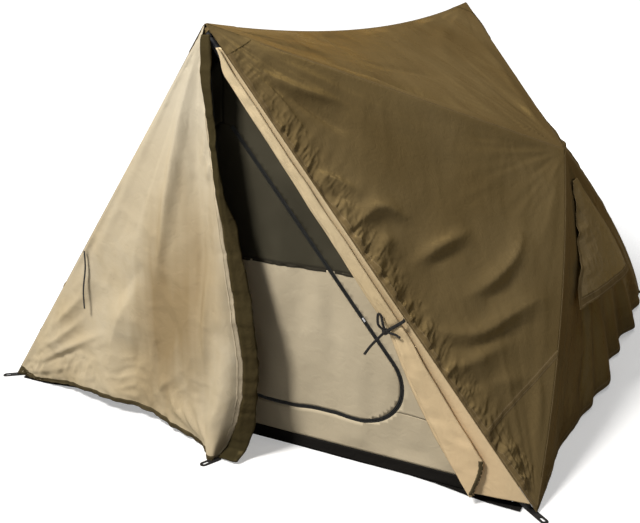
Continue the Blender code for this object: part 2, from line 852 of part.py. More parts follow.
def build_hub(end_name):
    """The peak fitting: two sleeves that hold the legs and a round crown under the cloth."""
    end = ends[end_name]
    apex, foot_right = leg_line(1, end)
    foot_left = leg_line(-1, end)[1]
    name = "peak_hub_" + end_name
    downs = [(foot_right - apex).normalized(), (foot_left - apex).normalized()]
    sleeve = [(0.0, -0.004), (hub_radius, -0.004), (hub_radius, hub_sleeve), (0.0, hub_sleeve)]
    hub = turned(name, sleeve, along(apex, downs[0]), plastic_black, 0.5, segments=16)
    second = turned(name + "_sleeve_guide", sleeve, along(apex, downs[1]), plastic_black, 0.5, segments=16)
    crown_height = crown_centre_height(end_name, apex.y) - apex.z
    crown = [(0.0, -0.004), (hub_ball_radius, -0.002)]
    for turn in (0, 30, 60):
        angle = math.radians(turn)
        height = crown_height + hub_ball_radius * math.sin(angle)
        crown.append((hub_ball_radius * math.cos(angle), height))
    crown.append((0.0, crown_height + hub_ball_radius))
    post = turned(name + "_crown_guide", crown, Matrix.Translation(apex), plastic_black, 0.5, segments=16)
    cut(hub, second, "UNION")
    cut(hub, post, "UNION")
    bore = pole_radius + spigot_clearance
    hole = [(0.0, hub_stop), (bore, hub_stop), (bore, hub_sleeve + 0.01), (0.0, hub_sleeve + 0.01)]
    for index, down in enumerate(downs):
        cutter = turned(f"{name}_bore_guide_{index}", hole, along(apex, down), plastic_black, 0.5)
        cut(hub, cutter)


def build_strut(side_name):
    side = sides[side_name]
    tip = nested_centre(side_name + "_shoulder", strut_tip_radius)
    foot = Vector((side * (half_width - strut_foot_inset), 0.0, 0.0))
    up = (tip - foot).normalized()
    length = (tip - foot).length
    tube_foot = strut_foot_height - 0.006
    ball = strut_tip_radius
    profile = [(0.0, tube_foot), (strut_radius, tube_foot), (strut_radius, length - 1.6 * ball)]
    profile += [
        (ball * math.cos(turn), length + ball * math.sin(turn))
        for turn in (math.radians(-40), math.radians(-10), math.radians(20), math.radians(50))
    ]
    profile.append((0.0, length + ball))
    turned("shoulder_strut_" + side_name, profile, along(foot, up), pole_grey, 0.35, 0.9)
    bore = strut_radius + spigot_clearance
    cup = [
        (0.0, tube_foot - touch), (bore, tube_foot - touch), (bore, strut_foot_height + 0.012),
        (strut_foot_radius - 0.003, strut_foot_height + 0.012), (strut_foot_radius, 0.010),
        (strut_foot_radius, -0.02), (0.0, -0.02),
    ]
    shape = lathe(cup, pole_sides)
    bmesh.ops.transform(shape, matrix=along(foot, up), verts=shape.verts)
    add_foot("strut_foot_" + side_name, shape, foot, 0.0)


def stadium(length, width, steps=6):
    """Outline of a slot with round ends, centred, its length along X."""
    radius = width / 2
    straight = length / 2 - radius
    outline = []
    for centre, start in ((straight, -90), (-straight, 90)):
        for k in range(steps + 1):
            angle = math.radians(start + 180 * k / steps)
            outline.append((centre + radius * math.cos(angle), radius * math.sin(angle)))
    return outline


def build_ground_tab(name, inner, outer):
    """A webbing tab on the ground with a slot for the peg at its outer end."""
    run = outer - inner
    length = run.length + tab_width
    heading = run.normalized()
    sideways = Vector((-heading.y, heading.x, 0.0))
    middle = (inner + outer) / 2 + Vector((0.0, 0.0, tab_thickness / 2))
    place = frame_matrix(middle, heading, sideways, Vector((0.0, 0.0, 1.0)))
    strap = mesh_from_bmesh(name, prism(stadium(length, tab_width), tab_thickness))
    tab = add_object(name, strap, webbing_black, 0.8, place=place)
    slot = mesh_from_bmesh(name + "_slot", prism(stadium(tab_slot_length, tab_slot_width), 4 * tab_thickness))
    shift = length / 2 - tab_slot_edge - tab_slot_length / 2
    slot_place = place @ Matrix.Translation((shift, 0.0, 0.0))
    cut(tab, add_object(name + "_slot_guide", slot, webbing_black, 0.8, place=slot_place))


def build_ground_tabs():
    for side_name, side in sides.items():
        for end_name, end in ends.items():
            foot = leg_line(side, end)[1]
            corner = Vector((side * half_width, end * half_depth, 0.0))
            heading = Vector((side * 1.0, end * 1.0, 0.0)).normalized()
            outer = corner + heading * (tab_reach - tab_width / 2)
            build_ground_tab(f"corner_tab_{end_name}_{side_name}", foot, outer)
    prow = points["door_corner"].lerp(points["front_left_corner"], 1.0 - prow_place)
    prow = Vector((prow.x, prow.y - prow_depth, 0.0))
    heading = Vector((-0.45, -1.0, 0.0)).normalized()
    build_ground_tab("door_peg_tab", prow + heading * -0.012, prow + heading * (tab_reach - tab_width / 2))


def round_corners(corners, radii, steps=5):
    """A closed outline with its corners rounded to the radii given."""
    outline = []
    count = len(corners)
    for i, (corner, radius) in enumerate(zip(corners, radii)):
        here = Vector(corner)
        if radius == 0.0:
            outline.append(tuple(here))
            continue
        before = (Vector(corners[i - 1]) - here).normalized()
        after = (Vector(corners[(i + 1) % count]) - here).normalized()
        half = before.angle(after) / 2
        centre = here + (before + after).normalized() * (radius / math.sin(half))
        start = here + before * (radius / math.tan(half)) - centre
        end = here + after * (radius / math.tan(half)) - centre
        sweep = start.angle_signed(end)
        for k in range(steps + 1):
            turn = Matrix.Rotation(-sweep * k / steps, 2)
            outline.append(tuple(centre + turn @ start))
    return outline


def inner_wall_frame(end):
    """The leaning plane of an end wall of the inner tent: X across, Y up the slope, Z out of it."""
    base = Vector((0.0, end * inner_half_depth, tub_height))
    top = Vector((0.0, end * (inner_half_depth + inner_lean), inner_height))
    up = (top - base).normalized()
    across = Vector((-end, 0.0, 0.0))
    return frame_matrix(base, across, up, across.cross(up)), (top - base).length


def flat_piece(name, outline, place, colour, thickness=cloth, roughness=0.6):
    mesh = mesh_from_bmesh(name, prism(outline, thickness))
    return add_object(name, mesh, colour, roughness, place=place)


def slope_distance(height):
    """Distance up the leaning end wall of a height above the ground."""
    rise = inner_height - tub_height
    return (height - tub_height) * math.hypot(rise, inner_lean) / rise


def inner_edge_x(distance, slope_length):
    return inner_half_width * (1.0 - distance / slope_length)


def door_outline(slope_length, grow):
    """Outline of the inner door, grown outwards by a margin: arcs at its right, top and left corners."""
    lean = math.atan2(inner_half_width, slope_length)
    level = slope_distance(door_sill_height) - grow
    side_shift = (door_margin - grow) / math.cos(lean)
    right = inner_edge_x(level, slope_length) - side_shift
    top = slope_length * (1.0 - side_shift / inner_half_width)
    corners = [(right, level), (0.0, top), (-right, level)]
    radii = [door_corner_radius + grow, door_top_radius + grow, door_corner_radius + grow]
    return round_corners(corners, radii)


def door_hole(slope_length):
    """The opening for the inner door: it leaves room for the zip at the foot and the right side, and
    lies close round the sewn left side."""
    tight = door_outline(slope_length, seam_gap)
    wide = door_outline(slope_length, 2 * tape_width + tape_channel + 2 * seam_gap)
    arc = len(tight) // 3
    zip_end = [tight[-1], (tight[-1][0], wide[0][1])]
    return wide[: arc + 1] + tight[arc:-1] + zip_end


def clip_outline(outline, level, keep_above):
    """The part of an outline in (x, y) above or below a level."""
    kept = []
    count = len(outline)
    sign = 1.0 if keep_above else -1.0
    for i in range(count):
        a, b = outline[i], outline[(i + 1) % count]
        inside_a = sign * (a[1] - level) >= 0
        inside_b = sign * (b[1] - level) >= 0
        if inside_a:
            kept.append(a)
        if inside_a != inside_b:
            t = (level - a[1]) / (b[1] - a[1])
            kept.append((a[0] + (b[0] - a[0]) * t, level))
    return kept


def build_inner_front():
    """Front wall of the inner tent: sill, two bands, a D-shaped door and its zip tapes."""
    place, slope_length = inner_wall_frame(-1)
    seam = slope_distance(mesh_seam_height)
    gap = seam_gap
    door = door_outline(slope_length, 0.0)
    flat_piece("inner_door_panel", clip_outline(door, seam - gap / 2, False), place, cream)
    flat_piece("inner_door_window", clip_outline(door, seam + gap / 2, True), place, mesh_grey)
    hole = door_hole(slope_length)
    split = slope_distance(door_sill_height) + sill_ear
    foot = 2 * gap
    below = clip_outline(hole, split, False)
    left_run = [p for p in below if p[0] < 0]
    right_run = [p for p in below if p[0] >= 0]
    edge = gap
    sill = [(-inner_edge_x(split, slope_length) + edge, split)] + left_run + right_run
    sill += [
        (inner_edge_x(split, slope_length) - edge, split),
        (inner_edge_x(foot, slope_length) - edge, foot),
        (-inner_edge_x(foot, slope_length) + edge, foot),
    ]
    flat_piece("inner_front_sill", sill, place, cream)
    above = clip_outline(hole, split + gap, True)
    top_cut = max(p[1] for p in above)
    apex = slope_length - 0.01
    for side_name, side in sides.items():
        run = [p for p in above if p[0] * side > 1e-4]
        if side < 0:
            run.reverse()
        band = [(side * (inner_edge_x(split + gap, slope_length) - edge), split + gap)]
        band += run
        band += [(side * gap, top_cut + gap), (side * gap, apex - 0.004)]
        band += [(side * (inner_edge_x(apex, slope_length) - edge + 0.001), apex - 0.004)]
        flat_piece("inner_front_band_" + side_name, band, place, cream)
    build_inner_zip(place, slope_length)


def zip_run(slope_length, near, far):
    """A closed outline between two margins round the door: along its foot and up its right side."""
    inner = door_outline(slope_length, near)
    outer = door_outline(slope_length, far)
    arc = len(inner) // 3
    back = Vector((inner_half_width, -slope_length)).normalized() * (2 * seam_gap)
    start = (inner[-1][0] + seam_gap, inner[-1][1])
    path_in = [start] + inner[:arc] + [tuple(Vector(inner[arc]) + back)]
    path_out = [(start[0], outer[-1][1])] + outer[:arc] + [tuple(Vector(outer[arc]) + back)]
    return path_in + path_out[::-1]


def build_inner_zip(place, slope_length):
    """Two zip tapes, and a slider that rides on the wall's tape with its web in the channel."""
    near = seam_gap
    flat_piece("inner_zip_tape_door", zip_run(slope_length, near, near + tape_width), place, webbing_black)
    far = near + tape_width + tape_channel
    flat_piece("inner_zip_tape_wall", zip_run(slope_length, far, far + tape_width), place, webbing_black)
    outline = door_outline(slope_length, far)
    arc_end = Vector(outline[len(outline) // 3 - 1])
    up = Vector((-inner_half_width, slope_length)).normalized()
    out = Vector((up.y, -up.x))
    depth = 2.0 * (cloth / 2 + slider_gap + slider_plate)
    width = slider_web + slider_gap + inner_slider_reach
    body = slider_body(width, depth, cloth + 2 * slider_gap, slider_web)
    middle = arc_end + up * inner_slider_start + out * (width / 2 - slider_web - slider_gap)
    local = frame_matrix(
        Vector((middle.x, middle.y, 0.0)), Vector((-out.x, -out.y, 0.0)), Vector((0.0, 0.0, 1.0)),
        Vector((up.x, up.y, 0.0)),
    )
    add_object("inner_zip_slider", mesh_from_bmesh("inner_zip_slider", body), steel, 0.3, 0.9, place @ local)


def build_inner_rear():
    place, slope_length = inner_wall_frame(1)
    seam = slope_distance(mesh_seam_height)
    gap = seam_gap
    apex = slope_length - 0.014
    levels = {"inner_rear_wall": (2 * gap, seam - gap / 2, cream),
              "inner_rear_mesh": (seam + gap / 2, apex, mesh_grey)}
    for name, (low, high, colour) in levels.items():
        wide = inner_edge_x(low, slope_length) - gap
        narrow = max(inner_edge_x(high, slope_length) - gap, 0.001)
        flat_piece(name, [(-wide, low), (wide, low), (narrow, high), (-narrow, high)], place, colour)


def build_inner_sides():
    """Long walls of the inner tent: cloth below the seam and mesh above it, up to the ridge."""
    gap = seam_gap
    for side_name, side in sides.items():
        for name, low, high, colour in (
            ("inner_wall_" + side_name, tub_height + gap, mesh_seam_height - gap / 2, cream),
            ("inner_mesh_" + side_name, mesh_seam_height + gap / 2, inner_height, mesh_grey),
        ):
            rows = []
            for i in range(inner_steps + 1):
                height = low + (high - low) * i / inner_steps
                share = (height - tub_height) / (inner_height - tub_height)
                reach = inner_half_depth + inner_lean * share - gap
                x = inner_half_width * (1.0 - share)
                row = []
                for j in range(inner_steps + 1):
                    across = 2.0 * j / inner_steps - 1.0
                    sag = inner_ridge_sag * (1.0 - across * across) * share ** 2
                    row.append(Vector((side * (x + inner_wall_out), reach * across, height - sag)))
                rows.append(row)
            if side < 0:
                rows.reverse()
            swept_sheet(name, rows, colour, roughness=0.6)


def build_tub():
    """The waterproof floor: a tray with low upright edges."""
    shape = bmesh.new()
    bmesh.ops.create_cube(shape, size=1.0)
    size = (2 * inner_half_width, 2 * inner_half_depth, tub_height)
    bmesh.ops.scale(shape, vec=size, verts=shape.verts)
    lid = max(shape.faces, key=lambda face: face.calc_center_median().z)
    bmesh.ops.delete(shape, geom=[lid], context="FACES_ONLY")
    tub = add_object("floor_tub", mesh_from_bmesh("floor_tub", shape), tub_black, 0.7,
                     place=Matrix.Translation((0.0, 0.0, tub_height / 2)))
    wall = tub.modifiers.new("cloth", "SOLIDIFY")
    wall.thickness = cloth
    wall.offset = -1.0


def build_hangers():
    """Straps that hang the inner tent's peaks from the pole frames."""
    for end_name, end in ends.items():
        apex, foot = leg_line(1, end)
        lean = math.atan2(foot.x - apex.x, apex.z - foot.z)
        low = Vector((0.0, end * (inner_half_depth + inner_lean), inner_height + touch))
        up = (apex - low).normalized()
        under_sleeves = math.hypot(hub_radius / math.sin(lean) * up.z, hub_radius * up.y)
        high = apex - up * (under_sleeves + hanger_clearance)
        rise = high - low
        across = Vector((1.0, 0.0, 0.0))
        place = frame_matrix((low + high) / 2, across, up, across.cross(up))
        half, tall = hanger_width / 2, rise.length / 2
        shoulder = tall - half / math.tan(lean)
        outline = [(-half, -tall), (half, -tall), (half, shoulder), (0.0, tall), (-half, shoulder)]
        flat_piece("peak_hanger_" + end_name, outline, place, webbing_black, hanger_thickness, 0.8)


def main():
    clear_scene()
    build_fly()
    build_left_door()
    build_storm_strip()
    build_outer_zip()
    build_right_door()
    build_door_tie()
    build_loose_tie()
    for side_name in sides:
        build_vent_hood(side_name)
        build_strut(side_name)
        for end_name in ends:
            build_leg(side_name, end_name)
    for end_name in ends:
        build_peak_cap(end_name)
        build_hub(end_name)
    build_ground_tabs()
    build_tub()
    build_inner_sides()
    build_inner_front()
    build_inner_rear()
    build_hangers()


main()
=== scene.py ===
"""The looks of a two-peak ridge tent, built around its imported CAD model.

Metres, in the CAD's frame: +X to the tent's right, +Y to its back, the origin on the ground in the middle.
Every cloth is modelled again as a thin sheet with its folds, gathers, seams and hems; the poles, feet,
peak fittings and zip sliders stay the CAD's own solids with finished materials.
"""

import itertools
import math

import bmesh
import bpy
import numpy as np
from mathutils import Matrix, Vector
from mathutils.bvhtree import BVHTree


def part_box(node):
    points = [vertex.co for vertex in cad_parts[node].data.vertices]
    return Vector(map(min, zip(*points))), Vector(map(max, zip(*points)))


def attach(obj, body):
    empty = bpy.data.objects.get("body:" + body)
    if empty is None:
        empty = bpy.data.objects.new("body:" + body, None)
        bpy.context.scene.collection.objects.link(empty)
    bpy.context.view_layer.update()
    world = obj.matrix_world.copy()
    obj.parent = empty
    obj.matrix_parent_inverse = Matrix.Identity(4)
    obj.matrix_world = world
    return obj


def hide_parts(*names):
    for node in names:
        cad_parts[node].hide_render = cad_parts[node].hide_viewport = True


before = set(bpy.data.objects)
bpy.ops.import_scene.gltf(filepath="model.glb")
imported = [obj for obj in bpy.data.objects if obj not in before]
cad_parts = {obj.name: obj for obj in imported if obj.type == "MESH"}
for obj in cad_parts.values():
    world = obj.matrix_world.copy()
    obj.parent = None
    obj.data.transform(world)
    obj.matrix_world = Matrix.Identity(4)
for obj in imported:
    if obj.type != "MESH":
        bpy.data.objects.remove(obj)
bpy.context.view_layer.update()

# Camera, as the photograph was taken
image_width = 640.0
focal_pixels = 876.7
camera_place = (1.4278, -3.2886, 1.4852)
camera_azimuth, camera_pitch, camera_roll = 26.71, 18.20, 0.387

# Fly sheet, as in the CAD source but for the bow of its front edges
base_width, base_depth = 2.02, 2.10
peak_height, peak_lean, ridge_sag = 1.35, 0.125, 0.068
shoulder_height, shoulder_inset = 0.871, 0.222
rear_edge_bow, front_edge_bow = 0.045, 0.030
ground_gap = 0.004
cap_length = 0.16
hood_top_height, hood_hem_height, hood_top_half, hood_hem_half = 0.76, 0.36, 0.035, 0.28
hood_hem_out = 0.070

# Front doors: the left one hangs down to its peg, the right one is folded back and tied
door_corner_x, door_corner_reach = 0.080, 0.130
door_hem_rise, door_fold = 0.045, 0.020
prow_depth, prow_place, prow_width, prow_drop = 0.060, 0.944, 0.055, 0.0033
strip_top_gap, strip_foot_gap = 0.13, 0.03
bundle_top_gap, bundle_foot_gap, bundle_start = 0.13, 0.03, 0.0015
bundle_top_width, bundle_tied_width, bundle_foot_width = 0.040, 0.076, 0.178
bundle_layer = 0.009
bundle_reach_up = 0.050
front_layer_cut = 0.150
tie_place, tie_width = 0.595, 0.012
loose_tie_place, loose_tie_length = 0.57, 0.21

# Inner tent
inner_half_width, inner_half_depth, inner_height, inner_lean = 0.93, 1.03, 1.255, 0.080
inner_ridge_sag = 0.050
tub_height, mesh_seam_height = 0.045, 0.645
door_sill_height, door_margin, door_corner_radius, door_top_radius = 0.165, 0.105, 0.13, 0.03
sill_ear = 0.045
seam_gap, tape_width, tape_channel, tape_depth = 0.00075, 0.0055, 0.0016, 0.0021

# Webbing tabs and the poles' feet
tab_width, tab_thickness, tab_reach = 0.025, 0.003, 0.052
tab_slot_width, tab_slot_length, tab_slot_edge = 0.009, 0.020, 0.009
foot_inset_x, foot_inset_y = 0.032, 0.020

# Thickness of cloth, mesh, sewn bands and zip tape; half width and facets of a webbing cord
cloth, mesh_cloth, band_cloth, tape_cloth = 0.0012, 0.0006, 0.0006, 0.0012
cord_half_width, cord_facets = 0.0040, 10

# Steps along a fly panel's edge, columns of a sewn band and steps of a rounded corner; how far to each side of
# its seams the fly is rounded, and from how far off a point is dropped onto it
canopy_steps, band_columns, arc_steps = 165, 6, 24
seam_softness, drop_reach = 0.024, 0.05

# Sheets as they lie flat: width and length, or one of the two
hood_length, long_wall_width, long_wall_length, long_mesh_length = 0.45, 2.26, 0.90, 0.92

half_width = base_width / 2
half_depth = base_depth / 2
sides = {"right": 1, "left": -1}
ends = {"front": -1, "rear": 1}


# ---- Numbers and noise ----


def vec(x, y, z):
    return np.array((x, y, z), float)


def unit(v):
    return v / np.linalg.norm(v, axis=-1, keepdims=True)


def ramp(low, high, value):
    t = np.clip((value - low) / (high - low), 0.0, 1.0)
    return t * t * (3.0 - 2.0 * t)


def bell(value, middle, width):
    return np.exp(-((value - middle) / width) ** 2)


def lengths(line):
    """Distance along a line at each of its points."""
    return np.concatenate([[0.0], np.cumsum(np.linalg.norm(np.diff(line, axis=0), axis=1))])


def noise(places, cell, seed):
    """Smooth noise from -1 to 1 at each place; cell is its grain, one size for each axis."""
    at = np.asarray(places, float) / np.asarray(cell, float)
    base = np.floor(at).astype(np.int64)
    part = at - base
    part = part * part * (3.0 - 2.0 * part)
    total = np.zeros(len(at))
    for corner in itertools.product((0, 1), repeat=at.shape[1]):
        key = np.full(len(at), 7919 * (seed + 1), np.int64)
        share = np.ones(len(at))
        for axis, step in enumerate(corner):
            key = ((key ^ (base[:, axis] + step)) * 2654435761 + 97) & 0xFFFFFFFF
            key ^= key >> 15
            share = share * (part[:, axis] if step else 1.0 - part[:, axis])
        key = (key * 2246822519) & 0xFFFFFFFF
        total += share * ((key >> 9) / float(1 << 22) - 1.0)
    return total


def noise_in(x, y, cell, seed):
    """Noise over two separate coordinates, either of which may be a single number."""
    return noise(np.column_stack(np.broadcast_arrays(x, y)), cell, seed)


def crumple(places, cell, seed, octaves=3):
    """Creased noise from 0 to 1, with sharp ridges as in crushed nylon."""
    total, size, weight = 0.0, 1.0, 0.0
    for k in range(octaves):
        total = total + size * (1.0 - np.abs(noise(places, np.asarray(cell, float) / 1.9 ** k, seed + 17 * k)) * 1.6)
        weight += size
        size *= 0.5
    return np.clip(total / weight, 0.0, 1.0)


# ---- Materials ----


def new_material(name, colour, roughness, metallic=0.0):
    mat = bpy.data.materials.new(name)
    mat.use_nodes = True
    shader = mat.node_tree.nodes["Principled BSDF"]
    shader.inputs["Base Color"].default_value = (*colour, 1.0)
    shader.inputs["Roughness"].default_value = roughness
    shader.inputs["Metallic"].default_value = metallic
    return mat, mat.node_tree, shader


def add_node(tree, kind, vector=None, **values):
    """A node with its settings; a key that is no setting of the node names one of its inputs."""
    node = tree.nodes.new(kind)
    for key, value in values.items():
        if hasattr(node, key):
            setattr(node, key, value)
        else:
            node.inputs[key.replace("_", " ")].default_value = value
    if vector is not None:
        tree.links.new(vector, node.inputs["Vector"])
    return node


def coordinates(tree, scale=(1.0, 1.0, 1.0)):
    source = add_node(tree, "ShaderNodeTexCoord")
    return add_node(tree, "ShaderNodeMapping", source.outputs["Object"], Scale=scale).outputs["Vector"]


def noise_node(tree, vector, scale, detail=3.0, roughness=0.5):
    node = add_node(tree, "ShaderNodeTexNoise", vector, Scale=scale, Detail=detail, Roughness=roughness)
    return node.outputs["Fac"]


def span(tree, value, low, high, start=0.3, stop=0.7):
    """Map a noise value onto a range."""
    node = add_node(tree, "ShaderNodeMapRange", From_Min=start, From_Max=stop, To_Min=low, To_Max=high)
    tree.links.new(value, node.inputs["Value"])
    return node.outputs["Result"]


def mixed(tree, share, first, second):
    """Mix two colours, each a colour or a socket, by a share that is a number or a socket."""
    node = add_node(tree, "ShaderNodeMix", data_type="RGBA")
    for socket, value in ((node.inputs[0], share), (node.inputs[6], first), (node.inputs[7], second)):
        if isinstance(value, bpy.types.NodeSocket):
            tree.links.new(value, socket)
        else:
            socket.default_value = value if isinstance(value, float) else (*value, 1.0)
    return node.outputs[2]


def spotted(tree, vector, scale, first, second, most=1.0, detail=4.0, roughness=0.5):
    """A colour that turns into another one in soft spots, by at most the share given."""
    return mixed(tree, span(tree, noise_node(tree, vector, scale, detail, roughness), 0.0, most), first, second)


def bumped(tree, height, distance, strength, under=None):
    node = add_node(tree, "ShaderNodeBump", Distance=distance, Strength=strength)
    tree.links.new(height, node.inputs["Height"])
    if under is not None:
        tree.links.new(under, node.inputs["Normal"])
    return node.outputs["Normal"]


def waves(tree, vector, period, direction):
    return add_node(tree, "ShaderNodeTexWave", vector, wave_type="BANDS", bands_direction=direction,
                    wave_profile="SIN", Scale=math.pi / 10.0 / period).outputs["Fac"]


def math_node(tree, operation, first, second=None):
    node = add_node(tree, "ShaderNodeMath", operation=operation)
    for socket, value in zip(node.inputs, (first, second)):
        if isinstance(value, bpy.types.NodeSocket):
            tree.links.new(value, socket)
        elif value is not None:
            socket.default_value = value
    return node.outputs[0]


def times(colour, factor, plus=0.0):
    return tuple(plus + factor * c for c in colour)


def finish(tree, shader, **sockets):
    """Link the shader's inputs, named with an underscore for each space."""
    for key, value in sockets.items():
        tree.links.new(value, shader.inputs[key.replace("_", " ")])


def cloth_gloss(shader, colour):
    """No mirror gloss: a cloth's satin comes from its slight metallic share, tinted by its own colour."""
    shader.inputs["Specular IOR Level"].default_value = 0.0
    shader.inputs["Specular Tint"].default_value = (*(min(1.0, 2.5 * c) for c in colour), 1.0)


def painted_light_and_shade(tree, here, tone, pale, deep, middle, reach, slant):
    """Painted light and shade: paler toward the top, as where more light falls, and a streaky oval of painted shade,
    or of painted light when its colour is paler: its colour, then its middle, half sizes and slant in x and z."""
    parts = add_node(tree, "ShaderNodeSeparateXYZ", here)
    # Painted light: the colour turns paler toward the top
    tone = mixed(tree, span(tree, parts.outputs["Z"], 0.0, 1.0, 0.65, 1.15), tone, pale)
    away = [math_node(tree, "SUBTRACT", parts.outputs[axis], middle[k]) for k, axis in enumerate("XZ")]
    away[0] = math_node(tree, "SUBTRACT", away[0], math_node(tree, "MULTIPLY", away[1], slant))
    squares = []
    for value, size in zip(away, reach):
        share = math_node(tree, "ABSOLUTE", math_node(tree, "DIVIDE", value, size))
        squares.append(math_node(tree, "POWER", share, 2.0))
    away = math_node(tree, "SQRT", math_node(tree, "ADD", *squares))
    streaks = span(tree, noise_node(tree, coordinates(tree, (1.0, 1.0, 0.12)), 8.0), -0.35, 0.35)
    # The oval of painted shade or painted light fades out from its middle, with streaky edges
    share = span(tree, math_node(tree, "ADD", away, streaks), 1.0, 0.0, 0.20, 1.15)
    return mixed(tree, share, tone, deep)


def coated_cloth(name, colour, dark, pale, roughness, crinkle=0.0014, satin=0.16, tinted=None):
    """Thin coated nylon: uneven dye, a fine weave, small crinkles and a satin gloss in the cloth's own colour."""
    mat, tree, shader = new_material(name, colour, roughness, satin)
    here = coordinates(tree)
    tone = spotted(tree, here, 2.2, dark, pale, detail=3.0)
    tone = spotted(tree, here, 26.0, tone, colour, 0.35, 5.0, 0.6)
    # Optional painted light toward the top and a painted oval of shade or light
    if tinted:
        tone = painted_light_and_shade(tree, here, tone, pale, *tinted)
    weave = 0.0026
    threads = math_node(tree, "ADD", waves(tree, here, weave, "DIAGONAL"),
                        waves(tree, coordinates(tree, (1.0, -1.0, 1.0)), weave, "DIAGONAL"))
    creases = add_node(tree, "ShaderNodeTexVoronoi", feature="DISTANCE_TO_EDGE", Scale=17.0)
    drift = add_node(tree, "ShaderNodeTexNoise", here, Scale=11.0).outputs["Color"]
    tree.links.new(mixed(tree, 0.35, here, drift), creases.inputs["Vector"])
    small = bumped(tree, threads, 0.00015, 0.25)
    crisp = bumped(tree, span(tree, creases.outputs["Distance"], 0.0, 1.0, 0.0, 0.35), crinkle, 0.45, small)
    soft = bumped(tree, noise_node(tree, here, 30.0, 4.0, 0.55), crinkle * 2.0, 0.6, crisp)
    finish(tree, shader, Base_Color=mixed(tree, math_node(tree, "MULTIPLY", threads, 0.035), tone, (0, 0, 0)),
           Roughness=span(tree, noise_node(tree, here, 9.0, 4.0), roughness - 0.06, roughness + 0.08), Normal=soft)
    cloth_gloss(shader, colour)
    return mat


def mesh_fabric(name, colour):
    """Fine insect mesh: a grid of threads with open cells."""
    mat, tree, shader = new_material(name, colour, 0.75)
    here = coordinates(tree)
    pitch = 0.0024
    grid = math_node(tree, "MAXIMUM", waves(tree, here, pitch, "DIAGONAL"),
                     waves(tree, coordinates(tree, (1.0, 1.0, -1.0)), pitch, "DIAGONAL"))
    finish(tree, shader, Base_Color=spotted(tree, here, 7.0, colour, times(colour, 1.35)),
           Alpha=span(tree, grid, 0.80, 1.0, 0.35, 0.60), Normal=bumped(tree, grid, 0.0003, 0.5))
    shader.inputs["Specular IOR Level"].default_value = 0.0
    return mat


def ribbed_webbing(name, colour, roughness=0.72, pitch=0.0022):
    """Woven tape: ribs both ways, and dusty wear."""
    mat, tree, shader = new_material(name, colour, roughness)
    here = coordinates(tree)
    ribs = math_node(tree, "ADD", waves(tree, here, pitch, "X"), waves(tree, here, pitch, "Y"))
    finish(tree, shader, Base_Color=spotted(tree, here, 45.0, colour, times(colour, 1.9, 0.008), 0.5, 5.0, 0.6),
           Roughness=span(tree, noise_node(tree, here, 60.0), roughness - 0.1, roughness + 0.1),
           Normal=bumped(tree, ribs, 0.0004, 0.8))
    shader.inputs["Specular IOR Level"].default_value = 0.2
    return mat


def stitched(base_colour, thread, name):
    """A folded and sewn band: two rows of stitches, from the band's own lengths in its UV map."""
    mat, tree, shader = new_material(name, base_colour, 0.45, 0.10)
    stitch, drawn, row_place, row_half = 0.0042, 0.30, 0.20, 0.045
    source = add_node(tree, "ShaderNodeUVMap", uv_map="band")
    parts = add_node(tree, "ShaderNodeSeparateXYZ", source.outputs[0])
    dash = math_node(tree, "FRACT", math_node(tree, "MULTIPLY", parts.outputs[0], 1.0 / stitch))
    dash = math_node(tree, "GREATER_THAN", dash, drawn)
    near = math_node(tree, "COMPARE", math_node(tree, "PINGPONG", parts.outputs[1], 0.5), row_place)
    near.node.inputs[2].default_value = row_half
    here = coordinates(tree)
    tone = spotted(tree, here, 20.0, times(base_colour, 0.82), times(base_colour, 1.12))
    pucker = bumped(tree, noise_node(tree, here, 130.0), 0.0010, 0.6)
    finish(tree, shader, Base_Color=mixed(tree, math_node(tree, "MULTIPLY", dash, near), tone, thread),
           Normal=bumped(tree, near, 0.0004, -0.8, pucker))
    cloth_gloss(shader, base_colour)
    return mat


def brushed_tube(name, colour):
    """Drawn tube: lengthwise grain and light scuffs."""
    mat, tree, shader = new_material(name, colour, 0.32, 0.95)
    grain = noise_node(tree, coordinates(tree, (1.0, 1.0, 0.08)), 420.0)
    finish(tree, shader, Roughness=span(tree, grain, 0.24, 0.42), Normal=bumped(tree, grain, 0.00008, 0.5),
           Base_Color=spotted(tree, coordinates(tree), 16.0, colour, times(colour, 0.6), 0.4, 5.0))
    return mat


def moulded(name, colour, roughness=0.5):
    """Moulded plastic or rubber with a fine grain and scuffed, dusty patches."""
    mat, tree, shader = new_material(name, colour, roughness)
    here = coordinates(tree)
    scuffs = span(tree, noise_node(tree, here, 55.0, 6.0, 0.65), 0.0, 0.5, 0.45, 0.8)
    finish(tree, shader, Base_Color=mixed(tree, scuffs, colour, times(colour, 2.2, 0.03)),
           Roughness=span(tree, noise_node(tree, here, 30.0), roughness - 0.08, roughness + 0.12),
           Normal=bumped(tree, noise_node(tree, here, 900.0, 2.0), 0.00012, 0.5))
    return mat


def cast_metal(name, colour):
    mat, tree, shader = new_material(name, colour, 0.3, 0.9)
    here = coordinates(tree)
    finish(tree, shader, Roughness=span(tree, noise_node(tree, here, 80.0, 5.0), 0.22, 0.5),
           Base_Color=spotted(tree, here, 140.0, colour, times(colour, 0.45), 0.6))
    return mat


olive = coated_cloth("fly_nylon", (0.182, 0.126, 0.052), (0.152, 0.104, 0.042), (0.214, 0.154, 0.070), 0.30,
                     crinkle=0.0007, satin=0.12)
# The vent hood is cut from the fly's cloth; this copy of it is painted lighter, for the light that falls on the hood's
# upturned face
hood_olive_painted_lighter = coated_cloth("fly_nylon_painted_lighter", (0.262, 0.190, 0.092), (0.222, 0.158, 0.074), (0.298, 0.220, 0.114), 0.30,
                          crinkle=0.0016, satin=0.12)
